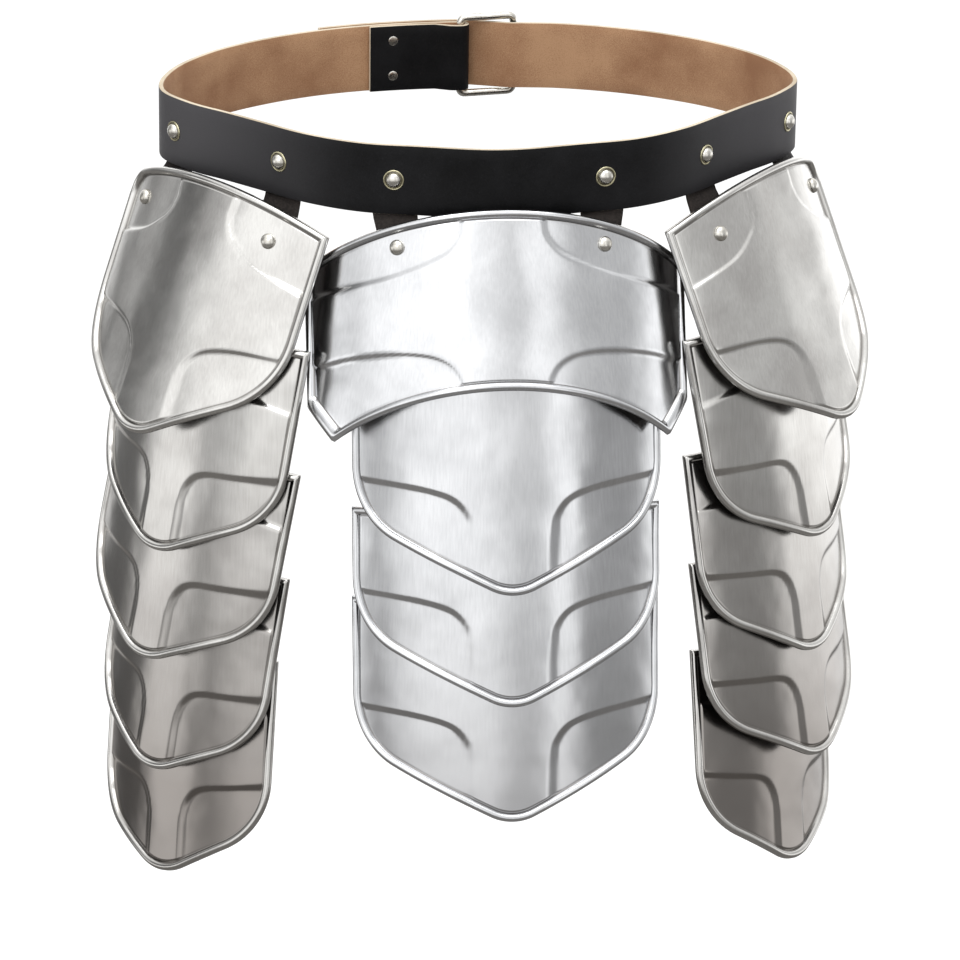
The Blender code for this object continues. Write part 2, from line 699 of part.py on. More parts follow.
    def wire(self, name, points, diameter, closed):
        """Return a bent wire as a mesh object."""
        curve = bpy.data.curves.new(name, "CURVE")
        curve.dimensions = "3D"
        curve.bevel_depth = diameter / 2
        curve.bevel_resolution = 2
        curve.use_fill_caps = True
        spline = curve.splines.new("POLY")
        spline.points.add(len(points) - 1)
        for place, point in zip(spline.points, points):
            place.co = (*point, 1.0)
        spline.use_cyclic_u = closed
        item = bpy.data.objects.new(name + "_curve", curve)
        bpy.context.scene.collection.objects.link(item)
        bpy.context.view_layer.update()
        made = bpy.data.meshes.new_from_object(item.evaluated_get(bpy.context.evaluated_depsgraph_get()))
        bpy.data.objects.remove(item, do_unlink=True)
        bm = bmesh.new()
        bm.from_mesh(made)
        return link_mesh(name, closed_mesh(bm, name), self.parts, self.materials["buckle_steel"])

    def rivet(self, name, seat, grip, visible, washer, holed):
        """Add a rivet whose head sits on a face, with a hole of its own through each piece it holds.

        The seat's origin is on the outer face and its -Y points out. The grip is the depth of all
        that the rivet holds.
        """
        lift = CLEARANCE
        shank = (SHANK_DIAMETER if visible else SMALL_SHANK) / 2
        profile = [(0.0, grip + lift + BURR_THICKNESS), (BURR_DIAMETER / 2, grip + lift + BURR_THICKNESS),
                   (BURR_DIAMETER / 2, grip + lift), (shank, grip + lift)]
        if not visible:
            profile = [(0.0, grip + lift + SMALL_HEAD_HEIGHT), (SMALL_HEAD / 2, grip + lift),
                       (shank, grip + lift), (shank, -lift), (SMALL_HEAD / 2, -lift),
                       (0.0, -lift - SMALL_HEAD_HEIGHT)]
        else:
            base = lift
            if washer:
                profile += [(shank, -lift), (WASHER_DIAMETER / 2, -lift),
                            (WASHER_DIAMETER / 2, -lift - WASHER_THICKNESS)]
                base += WASHER_THICKNESS
            else:
                profile.append((shank, -lift))
            wide, high = DOME_SHOULDER
            profile += [(DOME_DIAMETER / 2, -base),
                        (DOME_DIAMETER / 2 * wide, -base - DOME_HEIGHT * high), (0.0, -base - DOME_HEIGHT)]
        sides = RIVET_SIDES if visible else SMALL_SIDES
        mesh = turned_mesh(profile, sides)
        link_mesh(name, mesh, self.parts, self.materials["rivet_steel"], seat)
        hole = cylinder_mesh(shank + HOLE_CLEARANCE, -HOLE_REACH, grip + 2 * HOLE_REACH, sides)
        cutter = self.cutter(name + "_hole", hole, seat)
        for item in holed:
            add_cut(item, cutter)

    def landing(self, name, across, level):
        """Return three points across a strap that lies on a plate's inner face."""
        shape = self.shapes[name]
        depth = SHEET + STRAP_ROOM + STRAP_THICKNESS / 2
        points = []
        for share in (-1, 0, 1):
            place = across + share * STRAP_WIDTH / 2
            height = shape.relief(place, level) - depth
            points.append(self.matrices[name] @ shape.surface(place, level, height))
        return points

    def strap_rows(self, belt_angle, rivets):
        """Return a hanger strap's rows: behind the belt, at the top plate, then on each lame."""
        run = self.path.run_at(belt_angle)
        behind = -(BELT_THICKNESS + CLEARANCE + STRAP_THICKNESS / 2)
        rows = []
        for up in (BELT_HEIGHT / 2 - STRAP_TOP_MARGIN, -BELT_HEIGHT / 2 - STRAP_TOP_MARGIN / 2):
            rows.append([self.path.place(run + share * STRAP_WIDTH / 2, behind, up) for share in (-1, 0, 1)])
        for plate, across, level, _, visible in rivets:
            above = level + STRAP_LANDING if visible else self.shapes[plate].outline.above
            rows.append(self.landing(plate, across, above))
            rows.append(self.landing(plate, across, level - STRAP_LANDING))
        return rows

    def build_strap(self, name, belt_angle, rivets):
        """Add a hanger strap and the rivets that hold it: one on the belt and one on each plate.

        The rivets are rows of (plate, across, level, name, visible).
        """
        strap = self.ribbon(name, self.strap_rows(belt_angle, rivets), STRAP_THICKNESS, "strap_leather")
        grip = BELT_THICKNESS + CLEARANCE + STRAP_THICKNESS + STRAP_ROOM
        seat = self.path.frame(self.path.run_at(belt_angle))
        self.rivet(name.replace("strap", "belt_rivet"), seat, grip, True, True, (self.belt, strap))
        for plate, across, level, rivet, visible in rivets:
            grip = SHEET + STRAP_ROOM + STRAP_THICKNESS + BURR_ROOM
            self.rivet(rivet, self.seat(plate, across, level), grip, visible, False,
                       (self.sheets[plate], strap))

    def build_fold_rivets(self):
        """Add the two rivets that hold the belt's inner flap to its outer layer."""
        run = FLAP_LENGTH * FLAP_STATIONS[1]
        for word, up in (("upper", FOLD_RIVET_UP), ("lower", -FOLD_RIVET_UP)):
            grip = 2 * BELT_THICKNESS + FOLD_GAP + BURR_ROOM
            self.rivet(f"fold_rivet_{word}", self.path.frame(run, 0.0, up), grip, False, False, (self.belt,))

    def build_front_straps(self):
        """Add the two straps that carry the front plate and its lames."""
        for word, sign in (("left", -1), ("right", 1)):
            across = sign * FRONT_RIVET_ACROSS
            rows = [("front_plate", across, -FRONT_RIVET_DOWN, f"front_plate_rivet_{word}", True)]
            for row, (_, up, _) in enumerate(LAME_ROWS):
                rows.append((f"front_lame_{row + 1}", across, up * LAME_PITCH,
                             f"front_lame_{row + 1}_rivet_{word}", False))
            self.build_strap(f"front_strap_{word}", sign * BELT_RIVET_FRONT, rows)

    def build_side_straps(self, word, sign):
        """Add the front and rear straps of one tasset."""
        for end, way, angle, across in (("front", -1, BELT_RIVET_SIDE, SIDE_RIVET_FRONT),
                                        ("rear", 1, BELT_RIVET_REAR, SIDE_RIVET_REAR)):
            level = -SIDE_RIVET_DOWN
            rows = [(f"{word}_plate", sign * way * across, level, f"{word}_plate_rivet_{end}", True)]
            for row in range(len(TASSET_ROWS[word])):
                rows.append((f"{word}_lame_{row + 1}", sign * way * TASSET_STRAP_ACROSS, TASSET_RIVET_UP,
                             f"{word}_lame_{row + 1}_rivet_{end}", False))
            self.build_strap(f"{word}_strap_{end}", sign * angle, rows)


def main():
    """Build the fauld."""
    clear_scene()
    fauld = Fauld()
    fauld.build_belt()
    fauld.build_buckle()
    fauld.build_fold_rivets()
    fauld.build_front()
    fauld.build_front_straps()
    for word, sign in (("left", -1), ("right", 1)):
        fauld.build_side(word, sign)
        fauld.build_side_straps(word, sign)


main()
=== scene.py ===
"""The fauld as the photograph shows it: satin steel plates on a black leather hip belt.

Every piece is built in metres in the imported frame: +Z up, the front faces -Y, and the origin is the
centre of the belt's loop. A plate is drawn flat as (across, level), then bent round an upright
cylinder and placed by its matrix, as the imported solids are.
"""
import json
import logging
import math
from collections.abc import Callable
from dataclasses import dataclass, field
from enum import Enum
from functools import partial

import bmesh
import bpy
import numpy as np
from bpy.types import ID, Curve, Material, Mesh, Node, NodeSocket, NodeTree, Object
from mathutils import Matrix, Vector

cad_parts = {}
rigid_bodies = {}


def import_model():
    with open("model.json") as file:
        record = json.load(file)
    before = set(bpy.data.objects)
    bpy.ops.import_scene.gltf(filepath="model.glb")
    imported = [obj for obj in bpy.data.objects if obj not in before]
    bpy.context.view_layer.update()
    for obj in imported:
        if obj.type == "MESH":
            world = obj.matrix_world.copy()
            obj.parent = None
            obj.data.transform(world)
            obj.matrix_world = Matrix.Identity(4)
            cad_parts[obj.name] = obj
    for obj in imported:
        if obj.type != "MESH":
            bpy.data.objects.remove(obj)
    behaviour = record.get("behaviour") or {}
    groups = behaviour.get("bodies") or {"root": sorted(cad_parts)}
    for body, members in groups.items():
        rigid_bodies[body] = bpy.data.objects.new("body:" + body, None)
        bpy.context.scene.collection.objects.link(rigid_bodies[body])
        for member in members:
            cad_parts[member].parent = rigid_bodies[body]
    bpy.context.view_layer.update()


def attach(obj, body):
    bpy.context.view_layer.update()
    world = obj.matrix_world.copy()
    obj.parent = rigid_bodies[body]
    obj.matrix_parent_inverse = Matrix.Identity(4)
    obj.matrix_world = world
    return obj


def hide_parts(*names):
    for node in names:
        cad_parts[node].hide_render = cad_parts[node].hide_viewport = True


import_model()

LOG = logging.getLogger("fauld")
MM = 0.001
# Points closer than this are one point.
MERGE_DISTANCE = 0.001 * MM


class Side(Enum):
    """The two sides of the body, as the sign of X."""

    LEFT = -1
    RIGHT = 1

    @property
    def word(self) -> str:
        """Return the side as node names spell it."""
        return self.name.lower()


class Foot(Enum):
    """How a plate's lower edge runs."""

    POINTED = "rounded point"
    ARCHED = "arch with cut corners"


class Head(Enum):
    """How a rivet's head is dressed."""

    DOME = "domed head"
    RINGED = "domed head on a ring washer"
    FLAT = "flat head"


def linear(code: str) -> tuple[float, float, float, float]:
    """Turn an sRGB hex colour into a linear RGBA colour.

    Args:
        code: The colour as six hex digits after a hash sign.

    Returns:
        Red, green, blue and alpha for a shader socket.
    """
    parts = [int(code[i:i + 2], 16) / 255 for i in (1, 3, 5)]
    red, green, blue = (p / 12.92 if p <= 0.04045 else ((p + 0.055) / 1.055) ** 2.4 for p in parts)
    return red, green, blue, 1.0


def add_node(tree: NodeTree, kind: str | Node, settings: dict | None = None,
             inputs: dict | None = None) -> Node:
    """Add a node with its settings, its values and its links.

    Args:
        tree: The node tree to add to.
        kind: The node's type, or a node of the tree that only gets settings and inputs.
        settings: Properties of the node by name, and under "stops" a ramp's (place, colour) rows.
        inputs: By the input's name or number, a value, a socket to link from, or a node whose first
            output in use is linked.

    Returns:
        The node.
    """
    node = tree.nodes.new(kind) if isinstance(kind, str) else kind
    for name, value in (settings or {}).items():
        if name != "stops":
            setattr(node, name, value)
            continue
        band = node.color_ramp.elements
        while len(band) > 1:
            band.remove(band[0])
        band[0].position, band[0].color = value[0]
        for place, color in value[1:]:
            band.new(place).color = color
    for key, value in (inputs or {}).items():
        if isinstance(value, Node):
            value = next(socket for socket in value.outputs if socket.enabled)
        if isinstance(value, NodeSocket):
            tree.links.new(value, node.inputs[key])
        else:
            node.inputs[key].default_value = value
    return node


def new_surface(name: str) -> tuple[Material, Callable, Node]:
    """Start a material.

    Args:
        name: The finish's name.

    Returns:
        The material, add_node for its tree, and its Principled shader.
    """
    material = bpy.data.materials.new(name)
    material.use_nodes = True
    tree = material.node_tree
    return material, partial(add_node, tree), tree.nodes["Principled BSDF"]


def link_object(name: str, data: ID) -> Object:
    """Link a new object to the scene.

    Args:
        name: The object's name.
        data: Its mesh, curve, lamp or camera.

    Returns:
        The new object, at the origin.
    """
    made = bpy.data.objects.new(name, data)
    bpy.context.scene.collection.objects.link(made)
    return made


def take_shape(holder: Object) -> Mesh:
    """Take an object's final shape and remove the object.

    Args:
        holder: The object, with its modifiers or its curve.

    Returns:
        The shape as a new mesh.
    """
    bpy.context.view_layer.update()
    mesh = bpy.data.meshes.new_from_object(holder.evaluated_get(bpy.context.evaluated_depsgraph_get()))
    bpy.data.objects.remove(holder, do_unlink=True)
    return mesh


@dataclass(frozen=True)
class SatinSteel:
    """Mild steel sheet, pressed, then polished to a satin: soft mirror bands, faint rubbed lines.

    The low colour is painted shade: the sheet is painted duller and browner towards the hem, for the darker
    room that the lower plates mirror.
    """

    name: str
    bright: str = "#dadada"
    dull: str = "#c2c3c6"
    # Painted shade: the darker, browner tint that the sheet is painted to towards the hem.
    low: str = "#cbcac9"
    # The colour of the painted shade in the crease where the bead meets the sheet.
    seam: str = "#77736f"
    roughness: tuple[float, float] = (0.17, 0.23)
    from_level: float = -0.15
    to_level: float = -0.42
    mottle: float = 45 * MM
    dent: float = 34 * MM
    dent_depth: float = 1.4 * MM
    rub: float = 1.2 * MM
    rub_stretch: float = 40.0
    rubbed_rim: float = 0.8
    rubbed_share: float = 0.35
    tone_stops: tuple[float, float] = (0.50, 0.88)

    def material(self) -> Material:
        """Return the finish as a material.

        Returns:
            The new material.
        """
        made, add, shader = new_surface(self.name)
        place = add("ShaderNodeTexCoord").outputs["Object"]
        cloud = add("ShaderNodeTexNoise", inputs={
            "Vector": place, "Scale": 1 / self.mottle, "Detail": 3.0, "Roughness": 0.55})
        stretch = add("ShaderNodeMapping", inputs={
            "Vector": place, "Scale": (1 / self.rub, 1 / self.rub, 1 / (self.rub * self.rub_stretch))})
        rubbed = add("ShaderNodeTexNoise", inputs={"Vector": stretch, "Scale": 1.0, "Detail": 2.0})
        # Faint rubbed lines shift the mottled tone a little.
        tone = add("ShaderNodeMath", {"operation": "MULTIPLY_ADD"},
                   {0: rubbed, 1: self.rubbed_share, 2: cloud})
        tints = (linear(self.bright), linear(self.dull))
        color = add("ShaderNodeValToRGB", {"stops": list(zip(self.tone_stops, tints))}, {"Fac": tone})
        height = add("ShaderNodeSeparateXYZ", inputs={0: place}).outputs["Z"]
        # Painted shade: the tone darkens to the low colour from from_level down to to_level.
        depth = add("ShaderNodeMapRange", inputs={
            "Value": height, "From Min": self.from_level, "From Max": self.to_level})
        # One attribute marks the rolled edge, the other the crease that is painted dark as shade.
        rim, grime = (add("ShaderNodeAttribute", {"attribute_name": label}).outputs["Fac"]
                      for label in ("rim", "seam"))
        # The rolled edge is spared most of this painted shade, so it stays bright all the way down.
        share = add("ShaderNodeMath", {"operation": "MULTIPLY_ADD", "use_clamp": True},
                    {0: rim, 1: -self.rubbed_rim, 2: depth})
        for amount, tint in ((share, self.low), (grime, self.seam)):
            color = add("ShaderNodeMix", {"data_type": "RGBA"}, {0: amount, 6: color, 7: linear(tint)})
        smear = add("ShaderNodeTexNoise", inputs={
            "Vector": place, "Scale": 0.5 / self.mottle, "Detail": 3.0, "Roughness": 0.5})
        rough = add("ShaderNodeMapRange", inputs={
            "Value": smear, "From Min": 0.35, "From Max": 0.65,
            "To Min": self.roughness[0], "To Max": self.roughness[1]})
        wave = add("ShaderNodeTexNoise", inputs={
            "Vector": place, "Scale": 1 / self.dent, "Detail": 1.5, "Roughness": 0.4})
        soft = add("ShaderNodeBump", inputs={"Height": wave, "Strength": 1.0, "Distance": self.dent_depth})
        add(shader, inputs={"Base Color": color, "Metallic": 1.0, "Roughness": rough, "Normal": soft})
        return made


@dataclass(frozen=True)
class GrainLeather:
    """Drum-dyed cowhide: a dark finish over fine grain cells that catch soft light.

    The cell is the width of one grain pebble and the pit is how deep the lines between them go.
    """

    name: str
    dark: str
    light: str
    cell: float
    pit: float
    roughness: tuple[float, float]
    fleck: float = 0.0
    # Painted sheen: the lighter tone the leather is painted to at this distance from the middle, on both
    # sides, for the light it catches as it bends round the hips.
    rubbed: str = "#000000"
    rubbed_at: float = 0.0
    rubbed_from: float = 0.4
    shine: float = 0.12
    # How far the grain cells wander, how dark the lines between them are, and the hide's soft swell.
    wander: float = 0.006
    cell_share: float = 0.35
    swell: float = 0.8 * MM

    def material(self) -> Material:
        """Return the finish as a material.

        Returns:
            The new material.
        """
        made, add, shader = new_surface(self.name)
        place = add("ShaderNodeTexCoord").outputs["Object"]
        bend = add("ShaderNodeTexNoise", inputs={"Vector": place, "Scale": 0.4 / self.cell})
        moved = add("ShaderNodeMix", {"data_type": "VECTOR"},
                    {0: self.wander, 4: place, 5: bend.outputs["Color"]})
        cells = add("ShaderNodeTexVoronoi", {"feature": "F1"},
                    {"Vector": moved, "Scale": 1 / self.cell, "Randomness": 0.9})
        cloud = add("ShaderNodeTexNoise", inputs={
            "Vector": place, "Scale": 18.0, "Detail": 5.0, "Roughness": 0.65})
        flecks = add("ShaderNodeTexNoise", inputs={"Vector": place, "Scale": 900.0, "Detail": 1.0})
        spark = add("ShaderNodeMapRange", inputs={
            "Value": flecks, "From Min": 0.62, "From Max": 0.75, "To Max": self.fleck})
        blend = add("ShaderNodeMath", {"operation": "MULTIPLY_ADD"},
                    {0: cells, 1: -self.cell_share, 2: cloud})
        total = add("ShaderNodeMath", {"operation": "ADD"}, {0: blend, 1: spark})
        color = add("ShaderNodeValToRGB", {"stops": [(0.15, linear(self.dark)), (0.75, linear(self.light))]},
                    {"Fac": total})
        # Painted sheen: the tone lightens towards both sides.
        if self.rubbed_at:
            across = add("ShaderNodeSeparateXYZ", inputs={0: place}).outputs["X"]
            away = add("ShaderNodeMath", {"operation": "ABSOLUTE"}, {0: across})
            wear = add("ShaderNodeMapRange", {"interpolation_type": "SMOOTHSTEP"}, {
                "Value": away, "From Min": self.rubbed_at * self.rubbed_from, "From Max": self.rubbed_at})
            color = add("ShaderNodeMix", {"data_type": "RGBA"}, {0: wear, 6: color, 7: linear(self.rubbed)})
        rough = add("ShaderNodeMapRange", inputs={
            "Value": cloud, "From Min": 0.3, "From Max": 0.7,
            "To Min": self.roughness[0], "To Max": self.roughness[1]})
        pits = add("ShaderNodeBump", {"invert": True},
                   {"Height": cells, "Strength": 0.8, "Distance": self.pit})
        wave = add("ShaderNodeBump", inputs={
            "Height": cloud, "Strength": 0.5, "Distance": self.swell, "Normal": pits})
        add(shader, inputs={"Specular IOR Level": self.shine, "Base Color": color, "Roughness": rough,
                            "Normal": wave})
        return made


@dataclass(frozen=True)
class RawLeather:
    """Undyed cowhide, where it was cut or on its flesh side: matt, fibrous, tan to orange."""

    name: str
    pale: str
    deep: str
    fibre: float = 0.6 * MM
    fibre_depth: float = 0.15 * MM

    def material(self) -> Material:
        """Return the finish as a material.

        Returns:
            The new material.
        """
        made, add, shader = new_surface(self.name)
        place = add("ShaderNodeTexCoord").outputs["Object"]
        hair = add("ShaderNodeTexNoise", inputs={
            "Vector": place, "Scale": 1 / self.fibre, "Detail": 4.0, "Roughness": 0.7})
        cloud = add("ShaderNodeTexNoise", inputs={"Vector": place, "Scale": 22.0, "Detail": 3.0})
        both = add("ShaderNodeMath", {"operation": "MULTIPLY"}, {0: hair, 1: cloud})
        color = add("ShaderNodeValToRGB", {"stops": [(0.16, linear(self.deep)), (0.34, linear(self.pale))]},
                    {"Fac": both})
        bump = add("ShaderNodeBump", inputs={"Height": hair, "Strength": 0.6, "Distance": self.fibre_depth})
        add(shader, inputs={"Base Color": color, "Roughness": 0.85, "Normal": bump})
        return made


@dataclass(frozen=True)
class BrightMetal:
    """A small metal piece or a bare inner face, even in tone, with a little dullness in patches."""

    name: str
    bright: str
    dull: str
    roughness: tuple[float, float] = (0.18, 0.34)
    mottle: float = 4 * MM

    def material(self) -> Material:
        """Return the finish as a material.

        Returns:
            The new material.
        """
        made, add, shader = new_surface(self.name)
        place = add("ShaderNodeTexCoord").outputs["Object"]
        cloud = add("ShaderNodeTexNoise", inputs={
            "Vector": place, "Scale": 1 / self.mottle, "Detail": 3.0, "Roughness": 0.6})
        color = add("ShaderNodeValToRGB", {"stops": [(0.35, linear(self.bright)), (0.72, linear(self.dull))]},
                    {"Fac": cloud})
        rough = add("ShaderNodeMapRange", inputs={
            "Value": cloud, "From Min": 0.3, "From Max": 0.7,
            "To Min": self.roughness[0], "To Max": self.roughness[1]})
        add(shader, inputs={"Base Color": color, "Metallic": 1.0, "Roughness": rough})
        return made


class Finishes:
    """All the finishes of the object, made once."""

    def __init__(self) -> None:
        """Make the material of each finish."""
        # Both steels are painted darker towards the hem with their low colour, as painted shade.
        self.apron_steel = SatinSteel("satin polished steel", bright="#dadbdd", dull="#c6c7c9", low="#b2b2b3",
                                      from_level=-0.26).material()
        # The plates' inner faces are painted dark as shade, so that the steel mirrors dark bands where it
        # faces them.
        self.inside_steel = BrightMetal("mill-dark steel inside the plates", "#54514e", "#3a3735",
                                        (0.38, 0.50), 30 * MM).material()
        self.tasset_steel = SatinSteel("satin polished steel, duller at the hem", bright="#d3d2cf",
                                       dull="#bcbab7", low="#8b8682").material()
        # The belt is painted lighter towards its sides as painted sheen.
        self.belt_leather = GrainLeather("black belt leather", "#0c0c0d", "#1c1c1e", 0.9 * MM, 0.05 * MM,
                                         (0.42, 0.58), 0.25, "#434244", 200 * MM).material()
        self.strap_leather = GrainLeather("pebbled strap leather", "#191615", "#38322f", 1.9 * MM, 0.28 * MM,
                                          (0.5, 0.7), 0.1).material()
        self.flesh_side = RawLeather("flesh side of the leather", "#b08a68", "#8a6244").material()
        self.cut_edge = RawLeather("cut edge of the leather", "#cfc3ae", "#a89a84").material()
        self.rivet_steel = BrightMetal("tumbled rivet steel", "#e2e0da", "#bdb9b0").material()
        self.washer_brass = BrightMetal("pale brass ring", "#d8d2b2", "#a9a285").material()
        self.washer_dish = BrightMetal("dull washer dish", "#9d9a92", "#6b675f", (0.3, 0.45)).material()


def finish_piece(piece: Object, nodes: list[str]) -> Object:
    """Tie a finished piece to the frame and report it.

    Args:
        piece: The piece, at the origin.
        nodes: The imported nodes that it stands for.

    Returns:
        The same piece.
    """
    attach(piece, "root")
    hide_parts(*nodes)
    LOG.info("%s stands for %d node(s)", piece.name, len(nodes))
    return piece


def mesh_object(name: str, points: np.ndarray, faces: list, materials: list[Material],
                layers: dict[str, np.ndarray] | None = None) -> Object:
    """Make a smooth object from points and faces, with doubles merged.

    Args:
        name: The piece's name.
        points: The points, one row each.
        faces: Tuples of point numbers.
        materials: The materials of its slots.
        layers: A number for each point under each name that a finish reads.

    Returns:
        The new object, at the origin.
    """
    mesh = bpy.data.meshes.new(name)
    mesh.from_pydata(points.tolist(), [], faces)
    for label, values in (layers or {}).items():
        layer = mesh.attributes.new(label, "FLOAT", "POINT")
        layer.data.foreach_set("value", values.astype(np.float32))
    bm = bmesh.new()
    bm.from_mesh(mesh)
    bmesh.ops.delete(bm, geom=[v for v in bm.verts if not v.link_faces], context="VERTS")
    bmesh.ops.remove_doubles(bm, verts=bm.verts, dist=MERGE_DISTANCE)
    bm.to_mesh(mesh)
    bm.free()
    for material in materials:
        mesh.materials.append(material)
    mesh.shade_smooth()
    return link_object(name, mesh)


def grid_faces(columns: int, rows: int) -> list[tuple[int, int, int, int]]:
    """Return the faces of a grid whose points run row by row."""
    return [(j * (columns + 1) + i, j * (columns + 1) + i + 1, (j + 1) * (columns + 1) + i + 1,
             (j + 1) * (columns + 1) + i) for j in range(rows) for i in range(columns)]


def smooth_line(points: list[tuple[float, float]], steps: int = 8) -> np.ndarray:
    """Draw a smooth curve through points.

    Args:
        points: The points that it passes.
        steps: Stretches between two of them.

    Returns:
        The curve's points, one row each.
    """
    p = np.array(points, dtype=float)
    p = np.vstack([2 * p[0] - p[1], p, 2 * p[-1] - p[-2]])
    t = np.linspace(0, 1, steps, endpoint=False)[:, None]
    rows = []
    for a, b, c, d in zip(p, p[1:], p[2:], p[3:]):
        rows.append(0.5 * (2 * b + (c - a) * t + (2 * a - 5 * b + 4 * c - d) * t**2
                           + (3 * b - a - 3 * c + d) * t**3))
    return np.vstack(rows + [p[-2:-1]])


@dataclass
class PressedStep:
    """The edge of one pair of sunk corner panels, drawn on a half plate in millimetres.

    The rows are (across, level) from the plate's reference point, and the panel lies above or
    below the line.
    """

    rows: list[tuple[float, float]]
    above: bool
    drop: float = 1.4 * MM
    slope: float = 3.3 * MM

    def __post_init__(self) -> None:
        """Draw the line, and the panel that it closes."""
        self.line = smooth_line(self.rows) * MM
        far = 0.2 if self.above else -0.2
        first, last = self.line[0], self.line[-1]
        self.panel = np.vstack([self.line, [last[0] + 0.1, last[1]], [last[0] + 0.1, last[1] + far],
                                [first[0], last[1] + far]])

    def sunk(self, across: np.ndarray, level: np.ndarray) -> np.ndarray:
        """Return how far each flat point is pressed in, from 0 to 1.

        Args:
            across: How far each flat point lies to the side, in metres.
            level: How high each flat point lies, in metres.

        Returns:
            0 on the line and outside the panel, 1 well inside it.
        """
        x, y = np.abs(across), level
        inside = np.zeros(x.shape, dtype=bool)
        for (x0, y0), (x1, y1) in zip(self.panel, np.roll(self.panel, -1, axis=0)):
            if y0 != y1:
                hit = ((y0 > y) != (y1 > y)) & (x < (x1 - x0) * (y - y0) / (y1 - y0) + x0)
                inside ^= hit
        gap = np.full(x.shape, np.inf)
        for (x0, y0), (x1, y1) in zip(self.line, self.line[1:]):
            length = (x1 - x0) ** 2 + (y1 - y0) ** 2
            t = np.clip(((x - x0) * (x1 - x0) + (y - y0) * (y1 - y0)) / max(length, 1e-12), 0, 1)
            gap = np.minimum(gap, np.hypot(x - x0 - t * (x1 - x0), y - y0 - t * (y1 - y0)))
        t = np.clip(gap / self.slope, 0, 1)
        return np.where(inside, t * t * (3 - 2 * t), 0.0)


@dataclass
class PlateOutline:
    """A flat plate: a top edge, straight sides, and a pointed or arched foot."""

    half_width: float
    above: float
    depth: float
    foot: Foot = Foot.POINTED
    arch: float = 0.0
    slope: float = 0.0
    corner: float = 0.0
    tip: float = 0.0
    rear: float = 0.0
    front_sign: int = 1
    foot_arch: float = 0.0
    cut: float = 0.0

    def top(self, share: np.ndarray, inset: np.ndarray) -> tuple[np.ndarray, np.ndarray]:
        """Return the flat points of the top edge at shares of the half width.

        Args:
            share: Place along the edge, from -1 to 1.
            inset: How far inside the outline.

        Returns:
            Across and level of each point.
        """
        width = self.half_width - inset
        across = share * width
        level = self.above - inset - self.arch * (across / self.half_width) ** 2
        if self.rear:
            radius = np.maximum(self.rear - inset, 0.0)
            past = np.clip(np.abs(across) - (width - radius), 0.0, radius)
            rear = share * self.front_sign < 0
            level = level - np.where(rear, radius - np.sqrt(radius**2 - past**2), 0.0)
        return across, level

    def bottom(self, share: np.ndarray, inset: np.ndarray) -> tuple[np.ndarray, np.ndarray]:
        """Return the flat points of the foot at shares of its half length.

        Args:
            share: Place along the edge, from -1 to 1.
            inset: How far inside the outline.

        Returns:
            Across and level of each point.
        """
        side = np.where(share < 0, -1.0, 1.0)
        share = np.abs(share)
        width = self.half_width - inset
        if self.foot is Foot.ARCHED:
            straight, reach = 0.86, width - self.cut
            across = np.minimum(share / straight, 1.0) * reach
            level = -self.depth + inset - self.foot_arch * (across / (self.half_width - self.cut)) ** 2
            past = np.clip((share - straight) / (1 - straight), 0.0, 1.0)
            return side * (across + self.cut * past), level + self.cut * past
        beta = math.atan(self.slope)
        corner, tip = self.corner - inset, self.tip - inset
        apex = -self.depth - self.tip * (1 / math.cos(beta) - 1) + inset / math.cos(beta)
        middle = (width - corner, apex + self.slope * (width - corner) + corner / math.cos(beta))
        corner_part, tip_part = 0.50, 0.17
        turn = np.clip((1 - share) / corner_part, 0, 1) * (math.pi / 2 - beta)
        arc = (middle[0] + corner * np.cos(turn), middle[1] - corner * np.sin(turn))
        lean = np.clip(share / tip_part, 0, 1) * beta
        nose = (tip * np.sin(lean), apex + tip / math.cos(beta) - tip * np.cos(lean))
        start, end = tip * math.sin(beta), middle[0] + corner * math.sin(beta)
        run = start + (end - start) * (share - tip_part) / (1 - corner_part - tip_part)
        flank = (run, apex + self.slope * run)
        pick = [share > 1 - corner_part, share < tip_part]
        across = np.select(pick, [arc[0], nose[0]], flank[0])
        level = np.select(pick, [arc[1], nose[1]], flank[1])
        return side * across, level

    def flat(self, share: np.ndarray, row: np.ndarray, inset: np.ndarray) -> tuple[np.ndarray, np.ndarray]:
        """Return flat points ruled from the foot, at row 0, to the top edge, at row 1."""
        low, high = self.bottom(share, inset), self.top(share, inset)
        return low[0] + (high[0] - low[0]) * row, low[1] + (high[1] - low[1]) * row


